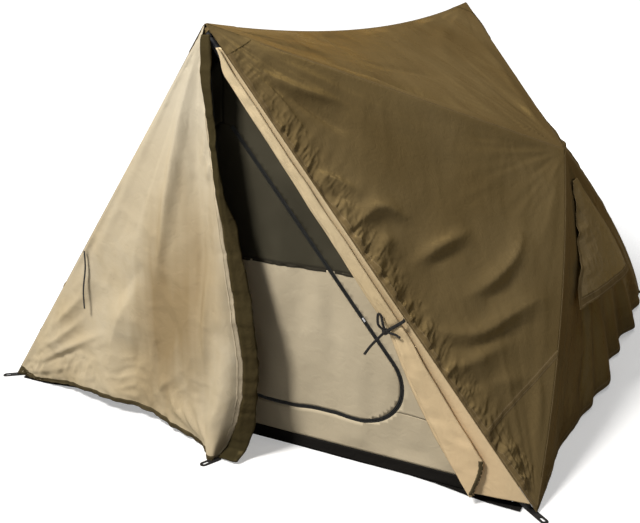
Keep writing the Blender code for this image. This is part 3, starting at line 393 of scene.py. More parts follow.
# The door cloth carries painted light toward its top and a darker, browner oval of painted shade in its middle
cream = coated_cloth("door_nylon", (0.560, 0.452, 0.285), (0.520, 0.412, 0.250), (0.600, 0.528, 0.395), 0.32,
                     crinkle=0.0007, satin=0.10,
                     tinted=((0.330, 0.242, 0.130), (-0.17, 0.44), (0.20, 0.44), 0.25))
# A warmer, paler cream for the folded door, with painted light toward its top and a patch of painted light, paler
# still, toward its foot
warm_cream = coated_cloth("folded_door_nylon", (0.630, 0.490, 0.290), (0.590, 0.450, 0.255), (0.670, 0.535, 0.330), 0.42,
                          crinkle=0.0006, satin=0.08,
                          tinted=((0.800, 0.600, 0.355), (0.78, 0.12), (0.42, 0.55), 0.0))
inner_cream = coated_cloth("inner_nylon", (0.580, 0.490, 0.340), (0.540, 0.455, 0.312), (0.620, 0.530, 0.375), 0.55,
                           crinkle=0.0007, satin=0.04)
dark_olive = coated_cloth("trim_nylon", (0.048, 0.037, 0.016), (0.035, 0.029, 0.013), (0.068, 0.050, 0.022), 0.38)
tub_black = coated_cloth("floor_sheeting", (0.016, 0.015, 0.013), (0.012, 0.011, 0.010), (0.021, 0.019, 0.017),
                         0.45, crinkle=0.0016, satin=0.05)
mesh_grey = mesh_fabric("insect_mesh", (0.056, 0.050, 0.034))
webbing_black = ribbed_webbing("black_webbing", (0.011, 0.010, 0.009))
zip_black = ribbed_webbing("zip_tape_weave", (0.010, 0.010, 0.009), 0.65, 0.0014)
olive_band = stitched((0.172, 0.120, 0.054), (0.270, 0.200, 0.110), "fly_seam")
cream_band = stitched((0.530, 0.445, 0.310), (0.150, 0.110, 0.065), "door_seam")
dark_band = stitched((0.078, 0.060, 0.031), (0.140, 0.112, 0.062), "door_hem")
seam_tape = stitched((0.050, 0.044, 0.032), (0.016, 0.014, 0.010), "inner_seam")
tube_metal = brushed_tube("pole_metal", (0.50, 0.51, 0.53))
fitting_plastic = moulded("fitting_plastic", (0.020, 0.020, 0.022))
foot_rubber = moulded("foot_rubber_grain", (0.014, 0.014, 0.014), 0.7)
slider_metal = cast_metal("slider_cast", (0.42, 0.42, 0.43))


# ---- Meshes and sheets ----


def add_mesh(name, places, faces, mat, body, replaces=(), thickness=0.0, bands=None):
    """A piece that rides on a body and stands for CAD nodes. bands gives each point its UV."""
    mesh = bpy.data.meshes.new(name)
    mesh.from_pydata(np.asarray(places, float).tolist(), [], [tuple(int(i) for i in f) for f in faces])
    if bands is not None:
        layer = mesh.uv_layers.new(name="band")
        corners = np.zeros(len(mesh.loops), np.int64)
        mesh.loops.foreach_get("vertex_index", corners)
        layer.data.foreach_set("uv", np.asarray(bands, np.float32)[corners].ravel())
    mesh.shade_smooth()
    mesh.materials.append(mat)
    item = bpy.data.objects.new(name, mesh)
    bpy.context.collection.objects.link(item)
    if thickness:
        solid = item.modifiers.new("cloth", "SOLIDIFY")
        solid.thickness = thickness
        solid.offset = 0.0
    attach(item, body)
    if replaces:
        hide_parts(*replaces)
    return item


def grid_faces(rows, columns, closed):
    """Quads between rows of points; a closed grid joins its last column to its first."""
    faces = []
    for i in range(rows - 1):
        for j in range(columns - (0 if closed else 1)):
            k = (j + 1) % columns
            faces.append((i * columns + j, i * columns + k, (i + 1) * columns + k, (i + 1) * columns + j))
    return faces


def add_strip(name, rows, mat, body, replaces=(), thickness=0.0, closed=False, bands=None):
    rows = np.asarray(rows, float)
    faces = grid_faces(rows.shape[0], rows.shape[1], closed)
    return add_mesh(name, rows.reshape(-1, 3), faces, mat, body, replaces, thickness, bands)


def band_lengths(rows):
    """UV of a strip's points: metres along it, and the share across it."""
    rows = np.asarray(rows, float)
    across = np.linspace(0.0, 1.0, rows.shape[1])
    return np.stack(np.meshgrid(lengths(rows[:, rows.shape[1] // 2]), across, indexing="ij"), axis=-1).reshape(-1, 2)


def sewn_band(name, rows, normal, mat, body, thickness=0.0, edge=0.0009, crown=0.0007):
    """A stitched band from rows of points on a sheet, lifted off it and rounded across."""
    share = np.linspace(0.0, 1.0, rows.shape[1])
    rows = rows + (edge + crown * np.sin(math.pi * share))[None, :, None] * normal
    return add_strip(name, rows, mat, body, (), thickness, bands=band_lengths(rows))


def joined(name, pieces):
    """Join finished strips into one piece, which keeps the first one's body, slot and nodes."""
    first = pieces[0]
    shape = bmesh.new()
    for piece in pieces:
        shape.from_mesh(piece.data)
    shape.to_mesh(first.data)
    shape.free()
    for piece in pieces[1:]:
        bpy.data.objects.remove(piece)
    first.name = name
    return first


def resampled(line, count):
    """A line's points again, evenly spaced by length."""
    along = lengths(line)
    at = np.linspace(0.0, along[-1], count)
    return np.stack([np.interp(at, along, line[:, k]) for k in range(line.shape[1])], axis=1)


def smooth_curve(points, count):
    """Points of a smooth curve through the points given, evenly spaced by length."""
    points = np.asarray(points, float)
    padded = np.vstack([2 * points[0] - points[1], points, 2 * points[-1] - points[-2]])
    fine = []
    for i in range(1, len(padded) - 2):
        a, b, c, d = padded[i - 1: i + 3]
        for t in np.linspace(0.0, 1.0, 24, endpoint=False):
            fine.append(0.5 * (2 * b + (c - a) * t + (2 * a - 5 * b + 4 * c - d) * t ** 2
                               + (3 * b - a - 3 * c + d) * t ** 3))
    return resampled(np.array(fine + [padded[-2]]), count)


def add_cord(name, course, count, up, half_thickness, body, replaces=()):
    """A flat webbing cord along a smooth course, rounded across and closed at its ends."""
    path = smooth_curve(course, count)
    angle = np.linspace(0.0, 2.0 * math.pi, cord_facets, endpoint=False)
    rows = []
    for place, along in zip(path, unit(np.gradient(path, axis=0))):
        across = np.cross(up, along)
        across = unit(across) if np.linalg.norm(across) > 1e-6 else vec(1, 0, 0)
        rows.append(place + np.outer(cord_half_width * np.cos(angle), across)
                    + np.outer(half_thickness * np.sin(angle), np.cross(along, across)))
    places = np.vstack([np.array(rows).reshape(-1, 3), path[0], path[-1]])
    faces = grid_faces(count, cord_facets, True)
    last = (count - 1) * cord_facets
    for k in range(cord_facets):
        n = (k + 1) % cord_facets
        faces += [(n, k, len(places) - 2), (last + k, last + n, len(places) - 1)]
    piece = add_mesh(name, places, faces, webbing_black, body, replaces)


# ---- The fly's named points, panels and folds ----

points = {
    "front_peak": vec(0.0, -half_depth - peak_lean, peak_height),
    "rear_peak": vec(0.0, half_depth + peak_lean, peak_height),
    "door_corner": vec(door_corner_x, -half_depth - door_corner_reach, ground_gap),
}
panel_corners = {
    "fly_rear_wall": ("rear_peak", "rear_left_corner", "rear_right_corner"),
    "front_door_left": ("front_peak", "front_left_corner", "door_corner"),
}
bows = {frozenset(("front_peak", "rear_peak")): vec(0.0, 0.0, -ridge_sag)}
for side_name, side in sides.items():
    shoulder = side_name + "_shoulder"
    points[shoulder] = vec(side * (half_width - shoulder_inset), 0.0, shoulder_height)
    panel_corners["fly_roof_" + side_name] = ("front_peak", "rear_peak", shoulder)
    panel_corners["fly_end_" + side_name] = (shoulder, f"front_{side_name}_corner", f"rear_{side_name}_corner")
    for end_name, end in ends.items():
        corner = f"{end_name}_{side_name}_corner"
        points[corner] = vec(side * half_width, end * half_depth, ground_gap)
        panel_corners[f"fly_side_{end_name}_{side_name}"] = (end_name + "_peak", shoulder, corner)
        bow = front_edge_bow if end < 0 else rear_edge_bow
        bows[frozenset((shoulder, corner))] = vec(side * bow, 0.0, 0.0)


def outward_order(names):
    """The three corner names, turned so that the sheet faces out of the tent, and its normal."""
    a, b, c = (points[name] for name in names)
    normal = unit(np.cross(b - a, c - a))
    inside = vec(0.0, 0.0, peak_height / 3)
    if normal.dot((a + b + c) / 3 - inside) < 0:
        return (names[0], names[2], names[1]), -normal
    return tuple(names), normal


def facing(panel):
    return outward_order(panel_corners[panel])[1]


def sheet_places(names, weights):
    """Points of a three-cornered sheet whose edges may bow."""
    places = weights @ np.array([points[name] for name in names])
    for i, j in ((0, 1), (1, 2), (2, 0)):
        bow = bows.get(frozenset((names[i], names[j])))
        if bow is not None:
            places = places + (4.0 * weights[:, i] * weights[:, j])[:, None] * bow
    return places


def triangle_grid(steps):
    """Corner weights of each grid point, row by row from the first corner, and the faces."""
    weights = [((steps - i) / steps, (i - j) / steps, j / steps) for i in range(steps + 1) for j in range(i + 1)]
    faces = []
    for i in range(steps):
        top, low = i * (i + 1) // 2, (i + 1) * (i + 2) // 2
        for j in range(i + 1):
            faces.append((top + j, low + j, low + j + 1))
            if j < i:
                faces.append((top + j, low + j + 1, top + j + 1))
    return np.array(weights), faces


def finer_near(corners, weights, faces, edge, reach):
    """Cut a panel's triangles finer within a reach of the edge between two of its corners."""
    a, b = corners[edge[0]], corners[edge[1]]
    shape = bmesh.new()
    verts = [shape.verts.new(p) for p in weights @ corners]
    for face in faces:
        shape.faces.new([verts[i] for i in face])
    run = unit(b - a)

    def near(vert):
        away = np.array(vert.co) - a
        return np.linalg.norm(away - run * away.dot(run)) < reach

    chosen = [e for e in shape.edges if near(e.verts[0]) and near(e.verts[1])]
    bmesh.ops.subdivide_edges(shape, edges=chosen, cuts=2, use_grid_fill=True)
    bmesh.ops.triangulate(shape, faces=shape.faces[:])
    shape.verts.index_update()
    flat = np.array([tuple(v.co) for v in shape.verts])
    finer = [tuple(v.index for v in f.verts) for f in shape.faces]
    shape.free()
    basis = np.stack([corners[0] - corners[2], corners[1] - corners[2]], axis=1)
    shares = np.linalg.lstsq(basis, (flat - corners[2]).T, rcond=None)[0].T
    shares = np.clip(np.column_stack([shares, 1.0 - shares.sum(axis=1)]), 0.0, 1.0)
    return shares / shares.sum(axis=1, keepdims=True), finer


def pressed(places, corners, folds, scale, narrower=1.0):
    """Rise of long folds. A fold has a path in shares of the first two corners, a height, and a half
    width on its left and on its right; it fades in and out along its path."""
    rise = np.zeros(len(places))
    a, b, c = corners
    normal = unit(np.cross(b - a, c - a))
    for path, height, left, right in folds:
        line = smooth_curve([a * s + b * t + c * (1.0 - s - t) for s, t in path], 14)
        best = np.full(len(places), np.inf)
        turn = np.zeros(len(places))
        side_of = np.zeros(len(places))
        for k in range(len(line) - 1):
            run = line[k + 1] - line[k]
            t = np.clip((places - line[k]) @ run / run.dot(run), 0.0, 1.0)
            away = places - line[k] - t[:, None] * run
            distance = np.linalg.norm(away, axis=1)
            closer = distance < best
            best = np.where(closer, distance, best)
            turn = np.where(closer, (k + t) / (len(line) - 1), turn)
            side_of = np.where(closer, away @ np.cross(normal, run), side_of)
        width = narrower * np.where(side_of > 0, left, right)
        taper = ramp(-0.02, 0.45, turn) * (1.0 - ramp(0.55, 1.02, turn))
        rise += height * scale * taper * np.exp(-(np.sqrt(best ** 2 + 4e-6) / width) ** 1.3)
    return rise


def fan(places, corner, toward, normal, spread, length, height, seed, start=0.05):
    """Tension wrinkles that fan out of a corner, around a direction, and die away from it."""
    away = places - corner
    axis = unit(toward - corner)
    distance = np.linalg.norm(away, axis=1) + 1e-9
    angle = np.arctan2(away @ np.cross(normal, axis), away @ axis)
    grain = np.column_stack([angle / spread, distance / length])
    fade = ramp(0.0, start, distance) * np.exp(-distance / length)
    return height * fade * (noise(grain, 1.0, seed) + 0.5 * noise(grain * 2.1, 1.0, seed + 5))


def gathers(places, start, end, inward, height, pitch, depth, seed):
    """Short pleats square to a sewn edge, of uneven length."""
    along = (places - start) @ unit(end - start)
    into = np.abs((places - start) @ inward)
    uneven = 0.7 + 0.5 * noise_in(along, along * 0, 0.09, seed)
    fade = np.exp(-into / (depth * np.clip(uneven, 0.35, 1.3)))
    fine = noise_in(along + 0.25 * into, into * 0.25, pitch, seed + 1)
    broad = noise_in(along + 0.15 * into, into * 0.2, 2.7 * pitch, seed + 2)
    return height * fade * (fine + 0.9 * broad)


# Folds of a front side panel, in shares of the peak and of the shoulder
front_folds = (
    (((0.951, 0.050), (0.816, 0.203), (0.683, 0.347), (0.577, 0.454)), -0.0065, 0.022, 0.030),
    (((0.960, 0.030), (0.824, 0.161), (0.770, 0.218)), 0.0045, 0.014, 0.016),
    (((0.900, 0.028), (0.871, 0.050), (0.781, 0.123), (0.696, 0.210), (0.640, 0.270)), 0.0080, 0.018, 0.022),
    (((0.860, 0.030), (0.801, 0.089), (0.673, 0.176), (0.580, 0.250)), -0.0060, 0.026, 0.026),
    (((0.70, 0.010), (0.632, 0.063), (0.570, 0.105)), 0.0090, 0.030, 0.020),
    (((0.66, 0.005), (0.605, 0.055), (0.560, 0.085)), -0.0060, 0.024, 0.024),
    (((0.56, 0.002), (0.560, 0.046), (0.530, 0.120), (0.470, 0.178), (0.440, 0.176)), 0.0120, 0.020, 0.045),
    (((0.52, 0.012), (0.490, 0.090), (0.470, 0.130)), 0.0080, 0.030, 0.030),
    (((0.43, 0.095), (0.373, 0.208), (0.270, 0.400)), 0.0150, 0.040, 0.026),
    (((0.39, 0.140), (0.330, 0.250), (0.275, 0.345)), -0.0080, 0.030, 0.030),
    (((0.30, 0.160), (0.214, 0.316), (0.152, 0.468), (0.130, 0.610)), 0.0160, 0.045, 0.026),
    (((0.26, 0.210), (0.166, 0.355), (0.115, 0.500)), -0.0090, 0.030, 0.032),
    (((0.39, 0.010), (0.300, 0.083), (0.221, 0.174), (0.143, 0.313), (0.060, 0.455), (0.0, 0.520)),
     0.0170, 0.045, 0.028),
    (((0.34, 0.020), (0.230, 0.131), (0.124, 0.298), (0.030, 0.420)), -0.0110, 0.030, 0.042),
    (((0.37, 0.004), (0.276, 0.030), (0.174, 0.185), (0.100, 0.300)), 0.0090, 0.030, 0.030),
    (((0.30, 0.004), (0.217, 0.057), (0.111, 0.199)), -0.0080, 0.030, 0.030),
    (((0.25, 0.010), (0.190, 0.090), (0.090, 0.210), (0.040, 0.300)), 0.0070, 0.030, 0.030),
    (((0.15, 0.003), (0.100, 0.035), (0.060, 0.100)), 0.0060, 0.018, 0.018),
    (((0.11, 0.003), (0.075, 0.030), (0.045, 0.075)), 0.0060, 0.016, 0.016),
    (((0.08, 0.003), (0.050, 0.025), (0.025, 0.055)), 0.0055, 0.014, 0.014),
    (((0.05, 0.300), (0.022, 0.200), (0.010, 0.100)), 0.0110, 0.026, 0.030),
    (((0.06, 0.600), (0.035, 0.750), (0.020, 0.900)), 0.0050, 0.026, 0.020),
    (((0.90, 0.030), (0.800, 0.060), (0.720, 0.070)), 0.0060, 0.022, 0.022),
)

# Folds of a roof panel, in shares of the front peak and of the rear peak
roof_folds = (
    (((0.65, 0.130), (0.486, 0.182), (0.386, 0.204), (0.255, 0.262)), -0.0070, 0.022, 0.030),
    (((0.62, 0.150), (0.480, 0.205), (0.380, 0.225)), 0.0050, 0.024, 0.024),
    (((0.12, 0.820), (0.240, 0.520), (0.262, 0.262)), 0.0060, 0.030, 0.030),
    (((0.93, 0.015), (0.700, 0.060), (0.450, 0.055), (0.160, 0.045)), -0.0080, 0.030, 0.040),
    (((0.06, 0.300), (0.050, 0.180), (0.020, 0.100)), 0.0050, 0.030, 0.030),
    (((0.10, 0.780), (0.060, 0.500), (0.030, 0.250)), 0.0050, 0.040, 0.040),
)

# How the foot of an end wall hangs out of line: the place from its front corner (0) to its rear one (1),
# metres out, and the half width in front of the place and behind it
hem_bulges = (
    (0.18, -0.016, 0.10, 0.08), (0.455, 0.046, 0.050, 0.070), (0.615, 0.030, 0.030, 0.045),
    (0.750, 0.046, 0.030, 0.050), (0.905, 0.020, 0.030, 0.050),
)
# How far from a panel's seam its folds fade in, and from the edge at the right and the left door, where the
# panel's triangles are finer too, within a reach in metres; points this close are welded
seam_fade = 0.06
door_edge_fade = {"right": 0.012, "left": 0.09}
fine_reach = {"right": 0.085, "left": 0.03}
weld_reach = 2e-5


def front_side_folds(rise, places, normal, side_name, share, seed):
    """Pressed folds of a front side panel, and the crushed pleats along its door edge."""
    names = ("front_peak", side_name + "_shoulder", f"front_{side_name}_corner")
    peak, _, corner = ordered = [points[n] for n in names]
    folds, strength = front_folds, 1.0
    if side_name == "left":
        folds = [(path, height * 0.85, right, left) for path, height, left, right in front_folds]
        strength = 0.4
    sheet = sheet_places(names, np.column_stack([share[n] for n in names]))
    rise = rise * 0.8 + pressed(sheet, ordered, folds, 1.7, 0.84)
    inward = unit(np.cross(normal, corner - peak))
    pleats = gathers(places, peak, corner, inward, 0.0065, 0.0095, 0.030, seed + 40)
    pleats = pleats + gathers(places, peak, corner, inward, 0.0110, 0.030, 0.070, seed + 50)
    into = np.abs((places - peak) @ inward)
    along = (places - peak) @ unit(corner - peak)
    crushed = crumple(np.column_stack([along + 0.35 * into, 0.45 * into]), 0.022, seed + 55, 2)
    pleats = pleats + 0.0125 * crushed * np.exp(-into / 0.055)
    pleats = np.where(pleats < 0, 0.6 * pleats, pleats)
    strength = (0.35 + 0.65 * ramp(0.10, 0.30, 1.0 - share["front_peak"])) * strength
    return rise * ramp(0.0, 0.035, share[names[1]]) + pleats * strength


def canopy_relief(panel, names, normal, weights, places):
    """Height of a fly panel's folds above its plain surface; it is nothing along each sewn edge."""
    corners = [points[n] for n in names]
    share = dict(zip(names, weights.T))
    kind, side_name = panel.split("_")[1], panel.split("_")[-1]
    seed = sorted(panel_corners).index(panel) * 31
    still = np.ones(len(places))
    for k in range(3):
        at_door = {names[(k + 1) % 3], names[(k + 2) % 3]} == {"front_peak", f"front_{side_name}_corner"}
        still = still * ramp(0.0, door_edge_fade[side_name] if at_door else seam_fade, weights[:, k])
    flat = np.column_stack([places @ unit(corners[1] - corners[0]), places @ unit(corners[2] - corners[0])])
    warp = flat + 0.05 * np.column_stack([noise(flat, 0.12, seed + 21), noise(flat, 0.12, seed + 22)])
    low = noise(flat, 0.42, seed) * 0.008 + noise(warp, 0.17, seed + 1) * 0.0050
    creased = crumple(warp, (0.16, 0.10), seed + 3, 2) - 0.5
    patchy = 0.35 + 0.65 * np.clip(0.5 + noise(flat, 0.33, seed + 4), 0.0, 1.0)
    fine = (crumple(warp, 0.055, seed + 2) - 0.5) * 0.0012
    rise = low + (0.0040 * creased + fine) * patchy
    for k in range(3):
        toward = (corners[(k + 1) % 3] + corners[(k + 2) % 3]) / 2
        rise = rise + fan(places, corners[k], toward, normal, 0.075, 0.42, 0.0068, seed + 7 + k)
    if kind == "side" and "front" in panel:
        return still * front_side_folds(rise, places, normal, side_name, share, seed)
    if kind == "side":
        return still * (rise * 1.3 + 0.009 * 27.0 * weights.prod(axis=1) * noise(flat, (0.5, 0.22), seed + 61))
    if kind == "roof":
        ordered = [points[n] for n in ("front_peak", "rear_peak", side_name + "_shoulder")]
        return still * (rise + pressed(places, ordered, roof_folds, 1.6))

    # An end wall and the rear wall hang free along their foot
    first, last, top = (("rear_left_corner", "rear_right_corner", "rear_peak") if kind == "rear" else
                        (f"front_{side_name}_corner", f"rear_{side_name}_corner", side_name + "_shoulder"))
    low_share = share[first] + share[last]
    across = share[last] / np.maximum(low_share, 1e-6)
    free = ramp(0.0, seam_fade, across) * ramp(0.0, seam_fade, 1 - across)
    if kind == "rear":
        rise = rise + 0.012 * low_share ** 2 * np.sin(6.0 * math.pi * across) * 4.0 * across * (1.0 - across)
    else:
        bulge = np.zeros(len(across))
        for middle, out, before, behind in hem_bulges:
            bulge += out * bell(across, middle, np.where(across < middle, before, behind))
        rise = rise + bulge * low_share ** 2.2 + 0.020 * bell(across, 0.350, 0.030) * ramp(0.50, 0.66, low_share)
        still = still / np.maximum(ramp(0.0, seam_fade, share[top]), 1e-6)
    still = np.where(share[top] < 1e-6, free, still)
    return rise * np.minimum(still, 1.0)


def panel_places(panel, weights):
    """Points of a fly panel with its folds, from corner weights in the order of its names."""
    names, normal = outward_order(panel_corners[panel])
    base = sheet_places(names, weights)
    return base, base + canopy_relief(panel, names, normal, weights, base)[:, None] * normal


def build_canopy():
    """The fly: front and end sheets on both sides and a rear wall, each one welded over its panels."""
    halves = {"rear": (None, ["fly_rear_wall"])}
    for side_name in sides:
        halves[side_name] = (side_name, ["fly_roof_" + side_name, "fly_side_front_" + side_name])
        halves[side_name + "_end"] = (side_name, ["fly_side_rear_" + side_name, "fly_end_" + side_name])
    made = {}
    for half, (side_name, panels) in halves.items():
        all_places, all_faces, all_keys, flat_area, count = [], [], [], 0.0, 0
        for panel in panels:
            names, _ = outward_order(panel_corners[panel])
            corners = np.array([points[n] for n in names])
            weights, faces = triangle_grid(canopy_steps)
            if "side_front" in panel:
                edge = [names.index("front_peak"), names.index(f"front_{side_name}_corner")]
                weights, faces = finer_near(corners, weights, faces, edge, fine_reach[side_name])
            base, folded = panel_places(panel, weights)
            all_keys.append(np.round(base / weld_reach).astype(np.int64))
            all_places.append(folded)
            all_faces.append(np.array(faces) + count)
            count += len(base)
            flat_area += np.linalg.norm(np.cross(corners[1] - corners[0], corners[2] - corners[0])) / 2
        _, first, back = np.unique(np.concatenate(all_keys), axis=0, return_index=True, return_inverse=True)
        faces = back.ravel()[np.concatenate(all_faces)]
        places = np.concatenate(all_places)[first]
        item = add_mesh("fly_canopy_" + half, places, faces, olive, "shelter", panels, cloth)
        if side_name:
            soften(item, side_name)
        made[half] = (item, flat_area)
    return made


def soften(item, side_name):
    """Round the canopy over its inner seams, as cloth does."""
    shape = bmesh.new()
    shape.from_mesh(item.data)
    shoulder = side_name + "_shoulder"
    start = points[shoulder]
    chosen = []
    for vert in shape.verts:
        if vert.is_boundary:
            continue
        place = np.array(vert.co)
        for name in ("front_peak", "rear_peak", f"front_{side_name}_corner", f"rear_{side_name}_corner"):
            run = points[name] - start
            t = np.clip((place - start).dot(run) / run.dot(run), 0.0, 1.0)
            centre = start + run * t + bows.get(frozenset((shoulder, name)), 0.0) * (4.0 * t * (1.0 - t))
            if np.linalg.norm(place - centre) < seam_softness:
                chosen.append(vert)
                break
    for _ in range(3):
        bmesh.ops.smooth_vert(shape, verts=chosen, factor=0.5, use_axis_x=True, use_axis_y=True, use_axis_z=True)
    shape.to_mesh(item.data)
    shape.free()


# ---- The left front door ----

# The free edge's course, as the share of the way down from the peak and metres to its own right
door_edge_course = (
    (0.00, 0.000), (0.03, -0.020), (0.10, -0.029), (0.256, -0.014), (0.383, -0.004), (0.50, 0.0185), (0.65, 0.034),
    (0.75, 0.046), (0.84, 0.036), (0.908, 0.0065), (0.96, -0.030), (1.00, -0.055),
)
# The storm strip's outer edge, in the same terms
strip_course = (
    (0.00, 0.012), (0.05, 0.018), (0.12, 0.011), (0.20, 0.010), (0.28, 0.011), (0.376, 0.022), (0.44, 0.042),
    (0.528, 0.068), (0.64, 0.090), (0.78, 0.088), (0.916, 0.062), (1.00, 0.023),
)
# Folds of the door, in shares of the peak and of its hinge corner
door_folds = (
    (((0.95, 0.030), (0.849, 0.082), (0.651, 0.166), (0.479, 0.235), (0.345, 0.310)), 0.0130, 0.035, 0.022),
    (((0.86, 0.030), (0.700, 0.070), (0.480, 0.100), (0.250, 0.140)), -0.0090, 0.040, 0.050),
    (((0.50, 0.055), (0.410, 0.078), (0.300, 0.102), (0.170, 0.130)), 0.0120, 0.032, 0.024),
    (((0.46, 0.290), (0.360, 0.400), (0.270, 0.520)), -0.0070, 0.045, 0.045),
    (((0.27, 0.360), (0.170, 0.400), (0.060, 0.430)), -0.0070, 0.050, 0.050),
    (((0.40, 0.330), (0.260, 0.450), (0.130, 0.520)), 0.0080, 0.035, 0.035),
    (((0.04, 0.930), (0.090, 0.800), (0.180, 0.600), (0.230, 0.480)), 0.0070, 0.016, 0.024),
    (((0.09, 0.880), (0.160, 0.740), (0.260, 0.580)), 0.0060, 0.014, 0.020),
    (((0.02, 0.950), (0.040, 0.830), (0.080, 0.660)), 0.0050, 0.014, 0.018),
    (((0.05, 0.860), (0.110, 0.720), (0.150, 0.600)), -0.0050, 0.014, 0.014),
    (((0.16, 0.800), (0.240, 0.690), (0.330, 0.560)), 0.0050, 0.014, 0.018),
    (((0.11, 0.270), (0.060, 0.230), (0.020, 0.170)), 0.0080, 0.016, 0.020),
    (((0.09, 0.210), (0.050, 0.160), (0.010, 0.110)), 0.0080, 0.014, 0.018),
    (((0.13, 0.150), (0.060, 0.120), (0.010, 0.060)), 0.0070, 0.014, 0.018),
    (((0.15, 0.240), (0.100, 0.300), (0.040, 0.330)), 0.0050, 0.016, 0.020),
    (((0.80, 0.012), (0.740, 0.030), (0.690, 0.050)), 0.0050, 0.016, 0.016),
    (((0.72, 0.010), (0.690, 0.024), (0.660, 0.040)), 0.0050, 0.014, 0.014),
)
# Share of the door's width that its sheet keeps clear of the two edges
door_edge_share = 0.0008


def course_at(course, share):
    return np.interp(share, *np.transpose(course))


def door_frame():
    """Top, foot and directions of the left door's free edge: along it, across it and out of it."""
    top, foot = points["front_peak"], points["door_corner"]
    down = unit(foot - top)
    out = facing("front_door_left")
    across = unit(np.cross(down, out))
    return top, foot, down, across * np.sign(across[0]), out


def door_places(hinge, low):
    """Points of the left door: hinge is the share from its free edge to its hinge, and low the share of
    the way down from the peak."""
    top, foot, _, across, normal = door_frame()
    corner = points["front_left_corner"]
    free = 1.0 - hinge
    base = top + (foot - top) * (low * free)[:, None] + (corner - top) * (low * hinge)[:, None]

    # The CAD's waves, its fold over the peg, and the lift of its hem
    fade = ramp(0.0, 0.12, free) * (1.0 - ramp(0.94, 1.0, free))
    at_prow = bell(free, prow_place, prow_width)
    rise = door_fold * fade * np.sin(5.0 * math.pi * free + 0.9) * low ** 1.5 * 0.5
    rise += prow_depth * (at_prow * (1.0 - ramp(0.97, 1.0, free))) * low ** 2 * (0.7 + 0.3 * low)
    arc = np.sin(math.pi * np.minimum(1.0, free / prow_place)) ** 2
    lift = door_hem_rise * arc * ramp(0.75, 1.0, low) - prow_drop * (at_prow * ramp(0.9, 1.0, low))

    # Folds and crumples, which die out at the sewn edges
    flat = np.column_stack([(base - top) @ unit(corner - foot), base[:, 2]])
    still = ramp(0.0, 0.04, hinge) * ramp(0.0, 0.05, free) * ramp(0.03, 0.12, low)
    rise += still * pressed(base, (top, corner, foot), door_folds, 2.0)
    warp = flat + 0.04 * np.column_stack([noise(flat, 0.12, 411), noise(flat, 0.12, 412)])
    rise += still * (0.008 * noise(flat, (0.16, 0.5), 401) + 0.0045 * noise(warp, (0.07, 0.20), 408))
    rise += still * 0.0060 * (crumple(warp, (0.09, 0.13), 402) - 0.5) * (0.5 + 0.5 * low)
    crushed = crumple(warp, 0.045, 409, 2) - 0.5
    rise += still * 0.0050 * crushed * (ramp(0.80, 0.95, low) + 0.8 * ramp(0.70, 0.95, hinge) * ramp(0.5, 0.8, low))
    rise += ramp(0.0, 0.04, hinge) * fan(base, top, (foot + corner) / 2, normal, 0.045, 0.55, 0.0040, 403)
    rise += still * fan(base, corner, (foot + top) / 2, normal, 0.09, 0.22, 0.0060, 404, 0.04)

    # Puckers along the hem, the free edge and the hinge
    hem = gathers(base, corner, foot, unit(np.cross(normal, foot - corner)), 0.0034, 0.020, 0.050, 405)
    edge = gathers(base, top, foot, across, 0.0024, 0.018, 0.026, 406)
    sewn = gathers(base, top, corner, across, 0.0026, 0.016, 0.036, 407)
    rise += ramp(0.02, 0.10, low) * (edge + ramp(0.0, 0.02, hinge) * (hem + sewn))

    # The foot of the free edge lies forward, and the whole edge wanders to its course
    rise += 0.040 * ramp(0.975, 1.0, low) * ramp(0.950, 0.985, free)
    at_foot = ramp(0.86, 1.0, low)
    shift = course_at(door_edge_course, low)
    shift = shift * ((1.0 - at_foot) * free ** 2.5 + at_foot * ramp(prow_place, 1.0, free))
    return base + rise[:, None] * normal + shift[:, None] * across + np.outer(lift, (0.0, 0.0, 1.0))


def build_left_door():
    top, foot, _, _, normal = door_frame()
    corner = points["front_left_corner"]
    weights, faces = triangle_grid(150)
    low = 1.0 - weights[:, 0]
    hinge = np.clip(weights[:, 1] / np.maximum(low, 1e-6), door_edge_share, 1.0 - door_edge_share)
    places = door_places(hinge, np.clip(low, 0.004, 1.0))
    door = add_mesh("left_door", places, faces, cream, "left_door", ["front_door_left"], cloth)

    width = np.linalg.norm(corner - foot)
    slope = np.linalg.norm((corner + foot) / 2 - top)
    share = np.linspace(0.0, 1.0, band_columns)

    def band(name, hinge, low, mat, slot):
        """A sewn band over the door, from its shares along and across."""
        hinge, low = np.broadcast_arrays(hinge, low)
        rows = door_places(hinge.ravel(), low.ravel()).reshape(*hinge.shape, 3)
        return sewn_band(name, rows, normal, mat, "left_door", band_cloth)

    along = np.linspace(0.003, 0.997, 420)[:, None]
    hem = band("door_hem", along, 1.0 - 0.017 / slope * (1.0 - share) + 0.001 * share, dark_band, "fly_trim")
    along = np.linspace(0.03, 0.998, 420)[:, None]
    edge = band("door_edge_band", share * 0.014 / (width * along) + door_edge_share, along, cream_band, "door_cloth")
    along = np.linspace(0.01, 1.0, 60)[:, None]
    patch = band("door_corner_patch", 1.0 - 0.135 * along * share, 1.0 - 0.030 * (1.0 - along), dark_band, "fly_trim")
    build_storm_strip()


